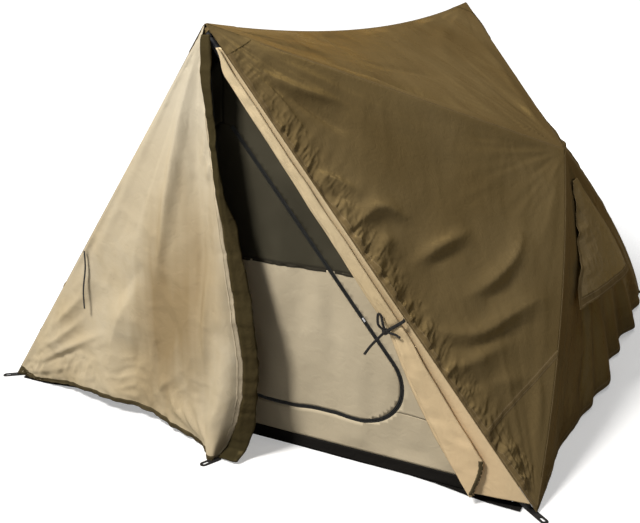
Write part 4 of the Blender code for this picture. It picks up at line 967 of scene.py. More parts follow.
def build_storm_strip():
    """The strip along the door's free edge: it lies over the zip and its slider, then bends back."""
    _, _, _, across, normal = door_frame()
    reaches = np.linspace(0.022, 0.996, 300)
    starts = door_places(np.full(len(reaches), door_edge_share), reaches)
    u = np.linspace(0.0, 1.0, 11)
    rows = []
    for t, start in zip(reaches, starts):
        edge_shift = course_at(door_edge_course, t)
        width = course_at(strip_course, t) - edge_shift
        s = t * 1.35
        wave = 0.006 * noise_in(s, u * 0.02, (0.10, 0.05), 420)
        fine = 0.0018 * noise_in(s, u * 0.05, (0.028, 0.02), 421)
        fine += 0.0050 * (crumple(np.column_stack([s + 0.08 * u, u * 0.06]), (0.055, 0.030), 422, 2) - 0.5)
        fine = (wave + fine) * ramp(0.12, 0.24, t) * (1.0 - ramp(0.88, 0.94, t))
        until = min(0.95, max(0.25, (0.010 - edge_shift) / width + 0.04))
        over_slider = 0.0042 * ramp(0.0, 0.08, u) * (1.0 - ramp(until, until + 0.15, u))
        bend = (0.0030 + over_slider) * min(1.0, t / 0.05) - 0.022 * (np.maximum(0.0, u - until) / 0.75) ** 1.6
        rows.append(start + np.outer(width * u, across) + np.outer(bend + fine * u, normal))
    strip = add_strip("storm_strip", rows, dark_olive, "left_door", ["door_storm_strip"], 0.0010)


def build_outer_zip():
    """The zip tape along the door's free edge, under the storm strip; below its slider it follows the cloth."""
    top, foot, down, across, out = door_frame()
    length = np.linalg.norm(foot - top)
    start = top + down * strip_top_gap + across * 0.0003 - out * tape_depth
    slider_share = 0.933
    slider_shift = course_at(door_edge_course, slider_share)
    u = np.linspace(0.0, 1.0, 5)
    rows = []
    for s in np.linspace(0.0, length - strip_top_gap - strip_foot_gap, 500):
        share = (strip_top_gap + s) / length
        shift = min(0.0, course_at(door_edge_course, share) - slider_shift) * (share > slider_share)
        rows.append(start + down * s + np.outer(tape_width * u + shift, across))
    add_strip("outer_zip_tape", rows, zip_black, "left_door", ["door_zip_tape"], tape_cloth)


# ---- The right front door, folded back and tied ----


def bundle_frame():
    """Top, foot and directions of the right door's sewn edge: along it, level and out of the fold."""
    top, foot = points["front_peak"], points["front_right_corner"]
    down = unit(foot - top)
    level = unit(points["door_corner"] - foot)
    out = unit(np.cross(down, level))
    return top, foot, down, level, out * -np.sign(out[1])


def tied_reach():
    """Distance down the edge of the level section whose inner end lies under the tie."""
    top, foot, down, level, _ = bundle_frame()
    return np.linalg.norm(foot - top) * tie_place - level.dot(down) * bundle_tied_width


def bundle_width(reach):
    """Level width of the folded door at a distance down its edge: drawn in at the tie, spread at its foot."""
    top, foot = bundle_frame()[:2]
    tied, end = tied_reach(), np.linalg.norm(foot - top) - bundle_foot_gap
    if reach < tied:
        return bundle_top_width + (bundle_tied_width - bundle_top_width) * reach / tied
    spread = math.sin(0.5 * math.pi * (reach - tied) / (end - tied))
    return bundle_tied_width + (bundle_foot_width - bundle_tied_width) * spread


def bundle_section(reach, width, turn, free, columns):
    """A section of the folded door, inward and outward from its seam: out along the first layer, back along the
    second to the turn, and along the third to the free edge."""
    near_tie = math.exp(-((reach - tied_reach()) / 0.040) ** 2)
    return smooth_curve(np.array((
        (0.00, 0.0), (0.45, 0.0), (0.90, 0.0), (0.97, 0.15), (1.00, 0.5), (0.97, 0.85), (0.90, 1.0),
        (0.49 + turn / 2, 1.05), (turn + 0.08, 1.05), (turn + 0.02, 1.2), (turn, 1.5),
        (turn + 0.01, 1.8), (0.8 * turn + 0.2 * free, 1.95), (0.4 * turn + 0.6 * free, 2.0), (free, 2.05),
    )) * (width, bundle_layer * (1.0 - 0.25 * near_tie)), columns)


def build_right_door():
    """The folded door, as sections down its edge. Its front layer is cut away on a slant above the foot,
    where the fold opens and shows the hem."""
    top, foot, down, level, out = bundle_frame()
    length = np.linalg.norm(foot - top)
    run = length - bundle_top_gap - bundle_foot_gap
    tied = tied_reach()
    cut = front_layer_cut / run
    columns = 64
    u = np.linspace(0.0, 1.0, columns)
    rows, hem = [], []
    for share in np.concatenate([np.linspace(-bundle_reach_up / run, 1.0 - cut, 200, endpoint=False),
                                 1.0 - cut * np.linspace(1.0, 0.0, 40)]):
        reach = bundle_top_gap + run * share
        into = max(0.0, 1.0 - (1.0 - share) * run / front_layer_cut)
        below = min(1.0, max(0.0, (reach - tied) / (length - bundle_foot_gap - tied)))
        width = bundle_width(reach) * (0.22 + 0.78 * ramp(-0.055, 0.05, reach - bundle_top_gap))
        turn = 0.26 + 0.08 * below + 0.60 * into ** 1.25
        free = 0.82 + 0.16 * below
        section = bundle_section(reach, width, turn, free, columns)
        here = np.column_stack([np.full(columns, reach), u * 0.25])
        below_tie = reach + level.dot(down) * section[:, 0] - length * tie_place
        wave = 0.0036 * noise(here, (0.13, 0.06), 501) + 0.0020 * noise(here, (0.035, 0.04), 502)
        wave += 0.0034 * (crumple(here * (1.0, 1.6), (0.10, 0.045), 505, 2) - 0.5)
        wave += 0.0050 * bell(below_tie, 0.0, 0.050) * ramp(0.002, 0.012, np.abs(below_tie)) * noise_in(
            0.3 * here[:, 0], section[:, 0], (0.05, 0.013), 504)
        wave *= ramp(0.0, 0.06, reach - bundle_top_gap)
        side_wave = 0.0026 * noise(here, (0.09, 0.2), 503)
        start = top + down * reach + level * bundle_start
        rows.append(start + np.outer(section[:, 0] + side_wave * u, level) + np.outer(section[:, 1] + wave * u, out))
        if into > 0.0:
            first = int(np.argmax(section[:, 0]))
            first += int(np.argmin(section[first:, 0]))
            band = section[first, 0] + min(0.013, 0.8 * (free - turn) * width) * np.linspace(0.0, 1.0, 5)
            hem.append([[np.interp(x, section[first:, 0], rows[-1][first:, k]) for k in range(3)] + 0.0013 * out
                        for x in band])
    hem = add_strip("right_door_hem", hem, dark_band, "right_door", (), band_cloth,
                    bands=band_lengths(hem))
    item = add_strip("right_door", rows, warm_cream, "right_door", ["front_door_right"], cloth)


# The door tie's loose ends from its knot, in metres inward, down the edge and out, and each far end
tie_ends = {
    "tie_tail": (((0.0, 0.0, 0.0), (0.030, 0.006, 0.012), (0.060, 0.014, 0.013), (0.092, 0.026, 0.008)), "bare"),
    "tie_loop": (((0.0, -0.004, 0.0), (0.000, -0.030, 0.010), (-0.020, -0.056, 0.016), (-0.026, -0.048, 0.018),
                  (-0.014, -0.024, 0.014), (-0.004, -0.004, 0.004)), "object"),
    "tie_end": (((0.0, 0.0, 0.0), (-0.016, 0.010, 0.010), (-0.028, 0.022, 0.013), (-0.034, 0.036, 0.012)), "bare"),
}


def build_knot(centre, inward, down, out):
    """A lump of wound webbing."""
    knot = bmesh.new()
    bmesh.ops.create_icosphere(knot, subdivisions=4, radius=1.0)
    places = []
    for vert in knot.verts:
        x, y, z = np.array(vert.co)
        wrap = 1.0 + 0.16 * math.sin(5.0 * math.atan2(z, x) + 7.0 * y)
        places.append(centre + (inward * x * 0.0085 + down * y * 0.0095 + out * z * 0.0075) * wrap)
    faces = [tuple(v.index for v in f.verts) for f in knot.faces]
    knot.free()
    add_mesh("tie_knot", places, faces, webbing_black, "right_door")


def build_door_tie():
    """The webbing tie round the folded door, its knot, loop and hanging tails."""
    top, foot, down, level, out = bundle_frame()
    inward = unit(level - down * level.dot(down))
    reach = np.linalg.norm(foot - top) * tie_place
    width = (bundle_width(tied_reach() + tie_width) + bundle_start) * level.dot(inward) * 0.99
    high, low = 2.05 * bundle_layer + 0.0010, -0.0016
    section = smooth_curve((
        (0.004, low), (0.5 * width, low), (width, low), (width + 0.003, 0.3 * high), (width + 0.003, 0.7 * high),
        (width - 0.004, high), (0.5 * width, high + 0.001), (0.004, high), (0.001, 0.5 * high), (0.004, low),
    ), 90)
    away = unit(section - section.mean(axis=0))
    rows = []
    for share in np.linspace(-0.5, 0.5, 5):
        ring = section + away * (0.0006 * (1.0 - 4.0 * share * share))
        rows.append(top + down * (reach + share * 0.0100) + np.outer(ring[:, 0], inward) + np.outer(ring[:, 1], out))
    add_strip("tie_band", rows, webbing_black, "right_door", ["door_tie"], 0.0012)

    knot_at = top + down * reach + inward * (width + 0.006) + out * (0.62 * high)
    build_knot(knot_at, inward, down, out)
    for name, (course, far_end) in tie_ends.items():
        course = [knot_at + inward * a + down * b + out * c for a, b, c in course]
        add_cord(name, course, 40, out, 0.0012, "right_door")


def build_loose_tie():
    """The open door's own tie, sewn into its hinge seam and hanging down outside it."""
    top, foot = points["front_peak"], points["front_left_corner"]
    out = facing("front_door_left")
    inward = unit(points["door_corner"] - foot)
    start = top + unit(foot - top) * (np.linalg.norm(foot - top) * loose_tie_place) + inward * 0.010
    course = []
    for share in np.linspace(0.0, 1.0, 9):
        sway = inward * (0.005 * math.sin(2.2 * math.pi * share) - 0.015 * share ** 2)
        lift = out * (0.0042 + 0.010 * math.sqrt(0.03 + share))
        course.append(start + vec(0.0, 0.0, -loose_tie_length * share) + sway + lift)
    add_cord("hanging_tie", course, 60, out, 0.0011, "left_door", ["loose_tie"])


# ---- Seams, hems, caps and vent hoods of the fly ----


def canopy_trees(canopy):
    trees = []
    for item, _ in canopy.values():
        shape = bmesh.new()
        shape.from_mesh(item.data)
        trees.append(BVHTree.FromBMesh(shape))
        shape.free()
    return trees


def laid_on(trees, places, directions, lift):
    """Drop points onto the fly along a direction, and lift them clear of it."""
    placed = []
    for place, direction in zip(places, np.broadcast_to(directions, places.shape)):
        best = None
        for tree in trees:
            start = Vector(place + direction * drop_reach)
            hit, _, _, distance = tree.ray_cast(start, Vector(-direction), 2.5 * drop_reach)
            if hit is not None and (best is None or distance < best[1]):
                best = (hit, distance)
        placed.append((place if best is None else np.array(best[0])) + direction * lift)
    return np.array(placed)


def seam_band(trees, course, out, width, lift=0.0009):
    """A flat-felled seam: a stitched band along a line on the fly."""
    tangent = unit(np.gradient(course, axis=0))
    out = np.broadcast_to(out, course.shape)
    across = unit(np.cross(out, tangent))
    rows = []
    for u in np.linspace(0.0, 1.0, 7):
        crown = lift * (0.25 + 0.75 * math.sin(math.pi * (0.06 + 0.88 * u)))
        rows.append(laid_on(trees, course + across * (width * (u - 0.5)), out, crown))
    rows = np.array(rows).transpose(1, 0, 2)
    return add_strip("seam", rows, olive_band, "shelter", bands=band_lengths(rows))


def edge_course(first, second, count, start, end):
    t = np.linspace(start, end, count)
    return sheet_places((first, second, "door_corner"), np.column_stack([1.0 - t, t, np.zeros(count)]))


def build_seams(trees):
    """Seams from peak to shoulder and on to the corner, across each side panel, on the ridge and the back."""
    pieces = []
    for side_name in sides:
        shoulder = side_name + "_shoulder"
        roof, wall = facing("fly_roof_" + side_name), facing("fly_end_" + side_name)
        for end_name in ends:
            peak, corner = end_name + "_peak", f"{end_name}_{side_name}_corner"
            panel = facing(f"fly_side_{end_name}_{side_name}")
            pieces.append(seam_band(trees, edge_course(peak, shoulder, 150, 0.12, 0.985), unit(roof + panel), 0.013))
            pieces.append(seam_band(trees, edge_course(shoulder, corner, 130, 0.02, 0.985), unit(wall + panel), 0.011))
            a, b, c = points[peak], points[shoulder], points[corner]
            t = np.linspace(0.0, 1.0, 70)[:, None]
            patch = (a * 0.165 + c * 0.835) * (1.0 - t) + (b * 0.385 + c * 0.615) * t
            patch = patch + bows[frozenset((shoulder, corner))] * (4.0 * 0.385 * 0.615 * t)
            pieces.append(seam_band(trees, patch, panel, 0.020, 0.0016))
    pieces.append(seam_band(trees, edge_course("front_peak", "rear_peak", 200, 0.075, 0.925), vec(0, 0, 1), 0.016))
    for side_name in sides:
        course = edge_course("rear_peak", f"rear_{side_name}_corner", 150, 0.02, 0.985)
        out = unit(facing("fly_rear_wall") + facing("fly_side_rear_" + side_name))
        pieces.append(seam_band(trees, course, out, 0.014))
    return joined("fly_seams", pieces)


def build_hems():
    """Folded hems along the ground and a binding along the right door edge, each stitched twice."""
    share = np.linspace(0.0, 1.0, band_columns)[None, :]
    along = np.linspace(0.004, 0.996, 320)[:, None]
    pieces = []

    def band(panel, shares):
        names, normal = outward_order(panel_corners[panel])
        shape = (len(along), band_columns)
        weights = np.column_stack([np.broadcast_to(shares[name], shape).ravel() for name in names])
        rows = panel_places(panel, weights)[1].reshape(*shape, 3)
        pieces.append(sewn_band("hem", rows, normal, olive_band, "shelter", 0.0, 0.0008, 0.0008))

    def foot_band(panel, top, first, last, depth):
        band(panel, {top: depth, first: (1.0 - depth) * (1.0 - along), last: (1.0 - depth) * along})

    for side_name in sides:
        shoulder = side_name + "_shoulder"
        foot_band("fly_end_" + side_name, shoulder, f"front_{side_name}_corner", f"rear_{side_name}_corner",
                  0.022 / shoulder_height * share)
        if side_name == "right":
            inner = 0.0135 * share
            low = np.minimum(along, 1.0 - inner - 0.002)
            band("fly_side_front_right", {"front_peak": 1.0 - low - inner, shoulder: inner, "front_right_corner": low})
    foot_band("fly_rear_wall", "rear_peak", "rear_left_corner", "rear_right_corner", 0.020 / peak_height * share)
    return joined("fly_hems", pieces)


def build_cap(trees, end_name):
    """The sewn cap over a peak, laid over the roof and side panels."""
    end = ends[end_name]
    peak = points[end_name + "_peak"]
    ridge = unit(points["rear_peak"] - points["front_peak"]) * -end
    hip_length, edge_length = cap_length * 0.92, cap_length * 0.66
    pieces = []
    for side_name, side in sides.items():
        hip = unit(points[side_name + "_shoulder"] - peak)
        edge = unit(points[f"{end_name}_{side_name}_corner"] - peak)
        flank = facing(f"fly_side_{end_name}_{side_name}")
        for start, stop, first, last, up in (
            (ridge, hip, cap_length, hip_length, unit(vec(0.25 * side, 0, 1))),
            (hip, edge, hip_length, edge_length, unit(flank)),
        ):
            rows = []
            for u in np.linspace(0.0, 1.0, 22):
                line = unit(start * (1.0 - u) + stop * u)
                reach = (first * (1.0 - u) + last * u) * (1.0 - 0.10 * math.sin(math.pi * u))
                row = [peak + line * max(0.010, reach * v) for v in np.linspace(0.06, 1.0, 22)]
                rows.append(laid_on(trees, np.array(row), up, 0.0022))
            pieces.append(add_strip("cap", rows, olive, "shelter"))
    item = joined("cap_" + end_name, pieces)
    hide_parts("peak_cap_" + end_name)


def build_vent_hood(side_name):
    """The hood over an end wall's vent: it hangs from its top seam, with a folded and stitched hem."""
    side = sides[side_name]
    names, normal = outward_order(panel_corners["fly_end_" + side_name])
    shoulder, front, rear = side_name + "_shoulder", f"front_{side_name}_corner", f"rear_{side_name}_corner"
    steps = 90
    down, across = (g.ravel() for g in np.meshgrid(np.linspace(0, 1, steps), np.linspace(-1, 1, steps),
                                                   indexing="ij"))
    height = hood_top_height + (hood_hem_height - hood_top_height) * down
    height = height - 0.025 * down * across
    half = hood_top_half + (hood_hem_half - hood_top_half) * down
    y = half * across * np.where(across < 0, 1.0 + 0.34 * down, 1.0)
    top_share = height / shoulder_height
    rear_share = ((1.0 - top_share) + y / half_depth) / 2.0
    shares = {shoulder: top_share, rear: rear_share, front: 1.0 - top_share - rear_share}
    wall = sheet_places(names, np.column_stack([shares[name] for name in names]))
    lift = 0.0028 + hood_hem_out * down * (0.60 + 0.40 * across) + 0.030 * down * (1.0 - across ** 2)
    flat = np.column_stack([y, height])
    from_front = (1.0 + across) * half
    folds = 0.0040 * noise(flat, (0.10, 0.25), 601) + 0.0016 * (crumple(flat, 0.05, 602) - 0.5)
    folds += 0.0080 * np.exp(-from_front / 0.045) * noise_in(height, y * 0.3, 0.026, 603)
    folds += 0.0060 * (crumple(flat, (0.045, 0.07), 604, 2) - 0.5) * np.exp(-from_front / 0.10)
    lift += folds * ramp(0.0, 0.15, down)
    ordered = (wall + lift[:, None] * normal).reshape(steps, steps, 3)
    rows = ordered if side < 0 else ordered[::-1]
    body = "vent_" + side_name
    # The hood's cloth is the fly's own, painted lighter for the light that falls on it
    hood = add_strip("hood_" + side_name, rows, hood_olive_painted_lighter, body, ["vent_hood_" + side_name], cloth)
    sewn = []
    for line in (ordered[-8:].transpose(1, 0, 2), ordered[:, :4], ordered[:, -4:]):
        t = np.linspace(0.0, line.shape[1] - 1.0, band_columns)
        low = np.floor(t).astype(int).clip(0, line.shape[1] - 2)
        part = (t - low)[None, :, None]
        band = line[:, low] * (1.0 - part) + line[:, low + 1] * part
        sewn.append(sewn_band("hood_seam", band, normal, olive_band, body))
    seam = joined("hood_seam_" + side_name, sewn)


# ---- The inner tent ----

inner_base = vec(0.0, -inner_half_depth, tub_height)
inner_top = vec(0.0, -inner_half_depth - inner_lean, inner_height)
inner_up = unit(inner_top - inner_base)
inner_out = unit(np.cross(vec(1, 0, 0), inner_up))
slope_length = float(np.linalg.norm(inner_top - inner_base))
slope_lean = math.atan2(inner_half_width, slope_length)


def round_corners(corners, radii):
    """A closed outline with its corners rounded to the radii given."""
    outline = []
    for i, (corner, radius) in enumerate(zip(corners, radii)):
        here = Vector(corner)
        before = (Vector(corners[i - 1]) - here).normalized()
        after = (Vector(corners[(i + 1) % len(corners)]) - here).normalized()
        half = before.angle(after) / 2
        centre = here + (before + after).normalized() * (radius / math.sin(half))
        start = here + before * (radius / math.tan(half)) - centre
        sweep = start.angle_signed(here + after * (radius / math.tan(half)) - centre)
        for k in range(arc_steps + 1):
            outline.append(tuple(centre + Matrix.Rotation(-sweep * k / arc_steps, 2) @ start))
    return outline


def slope_distance(height):
    return (height - tub_height) * slope_length / (inner_height - tub_height)


seam_level = slope_distance(mesh_seam_height)
sill_level = slope_distance(door_sill_height)


def inner_edge_x(distance):
    return inner_half_width * (1.0 - distance / slope_length)


def door_outline(grow):
    """Outline of the inner door, grown outwards by a margin: arcs at its right, top and left corners."""
    level = sill_level - grow
    side_shift = (door_margin - grow) / math.cos(slope_lean)
    right = inner_edge_x(level) - side_shift
    top = slope_length * (1.0 - side_shift / inner_half_width)
    corners = [(right, level), (0.0, top), (-right, level)]
    return round_corners(corners, [door_corner_radius + grow, door_top_radius + grow, door_corner_radius + grow])


def door_hole():
    """The opening for the inner door: room for the zip at its foot and right side, close on its left."""
    tight = door_outline(seam_gap)
    wide = door_outline(2 * tape_width + tape_channel + 2 * seam_gap)
    arc = len(tight) // 3
    return wide[: arc + 1] + tight[arc:-1] + [tight[-1], (tight[-1][0], wide[0][1])]


def clip_outline(outline, level, keep_above):
    """The part of an outline in (x, y) above or below a level."""
    kept = []
    sign = 1.0 if keep_above else -1.0
    for i, a in enumerate(outline):
        b = outline[(i + 1) % len(outline)]
        inside_a, inside_b = sign * (a[1] - level) >= 0, sign * (b[1] - level) >= 0
        if inside_a:
            kept.append(a)
        if inside_a != inside_b:
            t = (level - a[1]) / (b[1] - a[1])
            kept.append((a[0] + (b[0] - a[0]) * t, level))
    return kept


def filled(outline, spacing, level):
    """Points and faces that fill a flat outline, cut into cells of about the spacing and at one level."""
    shape = bmesh.new()
    shape.faces.new([shape.verts.new((x, y, 0.0)) for x, y in outline])
    shape.normal_update()
    low, high = np.min(outline, axis=0), np.max(outline, axis=0)
    cuts = [(axis, at) for axis in (0, 1) for at in np.arange(low[axis] + spacing / 2, high[axis], spacing)]
    if level is not None:
        cuts.append((1, level))
    for axis, at in cuts:
        place, line = [0.0, 0.0, 0.0], [0, 0, 0]
        place[axis], line[axis] = at, 1
        parts = shape.verts[:] + shape.edges[:] + shape.faces[:]
        bmesh.ops.bisect_plane(shape, geom=parts, dist=1e-6, plane_co=place, plane_no=line)
    bmesh.ops.triangulate(shape, faces=[f for f in shape.faces if len(f.verts) > 4])
    shape.verts.index_update()
    shape.faces.ensure_lookup_table()
    places = np.array([tuple(v.co) for v in shape.verts])
    faces = [tuple(v.index for v in f.verts) for f in shape.faces]
    if shape.faces[0].normal.z < 0:
        faces = [face[::-1] for face in faces]
    shape.free()
    return places[:, :2], faces


def inner_relief(flat):
    """Slack of the inner front wall: soft waves, pleats under the mesh, puckers round the zip."""
    x, y = flat[:, 0], flat[:, 1]
    rise = 0.012 * noise(flat, (0.15, 0.50), 701) + 0.0065 * noise(flat, (0.06, 0.24), 702)
    rise += 0.0030 * (crumple(flat, (0.07, 0.11), 703) - 0.5)
    pleats = 0.0048 * np.exp(-np.clip(seam_level - y, 0.0, 1.0) / 0.06) * noise_in(x, y * 0.1, 0.016, 704)
    rise += np.where(y <= seam_level, pleats, 0.0)
    rise += 0.0020 * np.exp(-np.abs(y - sill_level) / 0.045) * noise_in(x, y * 0.15, 0.022, 705)
    rise += 0.0030 * np.exp(-np.clip(y, 0, 1) / 0.03) * noise_in(x, y * 0.2, 0.045, 706)
    from_edge = (inner_edge_x(y) - np.abs(x)) * math.cos(slope_lean)
    off_zip = ramp(0.006, 0.07, np.abs(from_edge - door_margin))
    still = off_zip + (1.0 - off_zip) * ramp(0.0, 0.08, sill_level + 0.10 - y)
    return rise * still * ramp(0.0, 0.05, y) * ramp(0.0, 0.05, from_edge)


def on_inner_front(flat, lift=0.0):
    return (inner_base + np.outer(flat[:, 0], (1, 0, 0)) + np.outer(flat[:, 1], inner_up)
            + np.outer(inner_relief(flat) + lift, inner_out))


def inner_piece(name, outline, mat, body, node, spacing, thickness=cloth, level=None):
    """A piece of the inner front wall; above a level, if one is given, it is mesh."""
    flat, faces = filled(outline, spacing, level)
    item = add_mesh(name, on_inner_front(flat), faces, mat, body, [node], thickness)
    if level is not None:
        item.data.materials.append(mesh_grey)
        for face in item.data.polygons:
            face.material_index = int(np.mean([flat[i][1] for i in face.vertices]) > level)
    return item


def seam_on_inner(name, left, right, body):
    """The stitched seam between cloth and mesh, over a run of the inner front wall."""
    across = seam_level + 0.007 * np.linspace(-1.0, 1.0, band_columns)
    rows = []
    for x in np.linspace(left, right, max(8, int((right - left) / 0.006))):
        rows.append(on_inner_front(np.column_stack([np.full(band_columns, x), across]), 0.0013))
    return add_strip(name, rows, seam_tape, body, bands=band_lengths(rows))


def declare_flat(outline, with_pieces=()):
    """Work out a flat size for a piece of the inner front wall, with its depth cut so that its outline fills enough of
    it; the size is not kept or returned.
    """
    least_fill = 0.31
    x, y = np.array(outline).T
    area = abs(float(np.dot(x, np.roll(y, -1)) - np.dot(y, np.roll(x, -1)))) / 2
    wide, deep = float(x.max() - x.min()), float(y.max() - y.min())
    if area < least_fill * wide * deep:
        deep = area / least_fill / wide


def build_inner_front():
    """Door panel, mesh window, sill and side bands, each cut from the front wall's plane."""
    door = door_outline(0.0)
    panel = clip_outline(door, seam_level - seam_gap / 2, False)
    window = clip_outline(door, seam_level + seam_gap / 2, True)
    item = inner_piece("inner_door", panel, inner_cream, "inner_door", "inner_door_panel", 0.012)
    edge = inner_edge_x(seam_level) - door_margin / math.cos(slope_lean)
    declare_flat(panel, with_pieces=[seam_on_inner("inner_window_seam", 0.004 - edge, edge - 0.004,
                                                         "inner_door")])
    item = inner_piece("inner_window", window, mesh_grey, "inner_door", "inner_door_window", 0.02,
                       mesh_cloth)
    declare_flat(window)

    hole = door_hole()
    split, low = sill_level + sill_ear, 2 * seam_gap
    below = clip_outline(hole, split, False)
    split += seam_gap / 2
    corner, foot = inner_edge_x(split) - seam_gap, inner_edge_x(low) - seam_gap
    sill = [(-corner, split)] + [p for p in below if p[0] < 0] + [p for p in below if p[0] >= 0]
    sill += [(corner, split), (foot, low), (-foot, low)]
    item = inner_piece("inner_sill", sill, inner_cream, "shelter", "inner_front_sill", 0.014)
    declare_flat(sill)

    above = clip_outline(hole, split, True)
    top_cut = max(p[1] for p in above)
    apex = slope_length - 0.01
    for side_name, side in sides.items():
        run = [p for p in above if p[0] * side > 1e-4]
        band = [(side * corner, split)] + (run if side > 0 else run[::-1])
        band += [(side * seam_gap, top_cut + seam_gap), (side * seam_gap, apex - 0.004)]
        band += [(side * (inner_edge_x(apex) - seam_gap + 0.001), apex - 0.004)]
        item = inner_piece("inner_band_" + side_name, band, inner_cream, "shelter",
                           "inner_front_band_" + side_name, 0.016, level=seam_level)
        ends_at = sorted((side * (inner_edge_x(seam_level) - 0.006), side * (edge + (0.024 if side > 0 else 0.004))))
        declare_flat(band, with_pieces=[seam_on_inner("inner_band_seam_" + side_name, *ends_at, "shelter")])
    build_inner_zip()


def build_inner_zip():
    """The inner door's two zip tapes, each with the raised row of its coil along the other one."""

    def run(margin):
        outline = door_outline(margin)
        arc = len(outline) // 3
        back = Vector((inner_half_width, -slope_length)).normalized() * (2 * seam_gap)
        start = (outline[-1][0] + seam_gap, outline[-1][1])
        return resampled(np.array([start] + outline[:arc] + [tuple(Vector(outline[arc]) + back)]), 700)

    u = np.linspace(0.0, 1.0, 7)
    for name, body, margin, node, coil_side in (
        ("inner_tape_door", "inner_door", seam_gap, "inner_zip_tape_door", 1.0),
        ("inner_tape_wall", "shelter", seam_gap + tape_width + tape_channel, "inner_zip_tape_wall", 0.0),
    ):
        coil = 0.00035 * bell(u, coil_side, 0.30)
        rows = [on_inner_front(inner * (1.0 - u[:, None]) + outer * u[:, None], coil)
                for inner, outer in zip(run(margin), run(margin + tape_width))]
        add_strip(name, rows, zip_black, body, [node], tape_cloth)


def build_long_walls():
    """The inner tent's long walls: cloth below the seam, mesh above it."""
    across = np.linspace(-1.0, 1.0, 90)
    for side_name, side in sides.items():
        for name, node, low, high, mat, slot, length in (
            ("inner_long_wall_", "inner_wall_", tub_height + seam_gap, mesh_seam_height - seam_gap / 2, inner_cream,
             "inner_cloth", long_wall_length),
            ("inner_long_mesh_", "inner_mesh_", mesh_seam_height + seam_gap / 2, inner_height, mesh_grey,
             "mesh_cloth", long_mesh_length),
        ):
            rows = []
            for height in np.linspace(low, high, 40):
                share = (height - tub_height) / (inner_height - tub_height)
                reach = (inner_half_depth + inner_lean * share - seam_gap) * across
                sag = inner_ridge_sag * (1.0 - across ** 2) * share ** 2
                slack = 0.008 * noise_in(reach, height, (0.16, 0.35), 801)
                slack *= (1.0 - across ** 2) * (1.0 - share) * ramp(0.0, 0.08, share)
                x = inner_half_width * (1.0 - share) + 0.0011 - np.abs(slack)
                rows.append(np.column_stack([side * x, reach, height - sag]))
            rows = np.array(rows if side > 0 else rows[::-1])
            item = add_strip(name + side_name, rows, mat, "shelter", [node + side_name], cloth)


def build_rear_wall():
    """The inner tent's rear wall: cloth below the seam, mesh above it."""
    across = np.linspace(-1.0, 1.0, 70)
    for name, node, low, high, mat, slot in (
        ("inner_back", "inner_rear_wall", 2 * seam_gap, seam_level - seam_gap / 2, inner_cream, "inner_cloth"),
        ("inner_back_mesh", "inner_rear_mesh", seam_level + seam_gap / 2, slope_length - 0.014, mesh_grey,
         "mesh_cloth"),
    ):
        rows = []
        for level in np.linspace(low, high, 40):
            x = across * max(inner_edge_x(level) - seam_gap, 0.001)
            slack = 0.006 * noise_in(x, level, (0.15, 0.35), 811)
            slack *= (1.0 - across ** 2) * ramp(0.0, 0.06, level)
            place = inner_base + level * inner_up + np.outer(slack, inner_out)
            rows.append(np.column_stack([x, -place[:, 1], place[:, 2]])[::-1])
        item = add_strip(name, rows, mat, "shelter", [node], cloth)


def build_tub():
    """The coated floor and its upright edges in one sheet, and the ground flaps to the front corners."""
    steps, edge = 110, 0.955
    lines = np.concatenate([np.linspace(-1.0, -edge, 7)[:-1], np.linspace(-edge, edge, steps - 12),
                            np.linspace(edge, 1.0, 7)[1:]])
    u, v = (g.ravel() for g in np.meshgrid(lines, lines, indexing="ij"))
    out = np.clip((np.maximum(np.abs(u), np.abs(v)) - edge) / (1.0 - edge), 0.0, 1.0)
    x = np.clip(u / edge, -1.0, 1.0) * (inner_half_width - 0.0009)
    y = np.clip(v / edge, -1.0, 1.0) * (inner_half_depth - 0.0009)
    slack = 0.0022 * crumple(np.column_stack([x, y]), 0.14, 821) * (1.0 - ramp(0.0, 0.2, out))
    z = 0.0010 + (tub_height - 0.0010) * out + slack
    pull = np.abs(0.0035 * noise_in(x + y, z, (0.05, 0.08), 822) * np.sin(math.pi * out))
    x, y = (x - np.sign(x) * pull * (np.abs(u) >= np.abs(v)), y - np.sign(y) * pull * (np.abs(v) > np.abs(u)))
    rows = np.column_stack([x, y, z]).reshape(steps, steps, 3)
    item = add_strip("floor_sheet", rows, tub_black, "shelter", ["floor_tub"], cloth)
    flaps = []
    for side in sides.values():
        rows = []
        for x in np.linspace(0.62, 0.965, 70):
            outer = -inner_half_depth - 0.001 - 0.034 * ramp(0.62, 0.90, x)
            inner = -inner_half_depth + 0.0002 + 0.026 * ramp(0.925, 0.950, x) - 0.020 * ramp(0.950, 0.965, x)
            y = np.linspace(inner, outer, 12)
            z = 0.0011 + 0.0030 * crumple(np.column_stack([np.full(12, x), y]), (0.05, 0.03), 824)
            rows.append(np.column_stack([np.full(12, side * x), y, z]))
        flaps.append(add_strip("flap", rows[::side], tub_black, "shelter", thickness=cloth))
    joined("floor_flaps", flaps)


# ---- Webbing ----


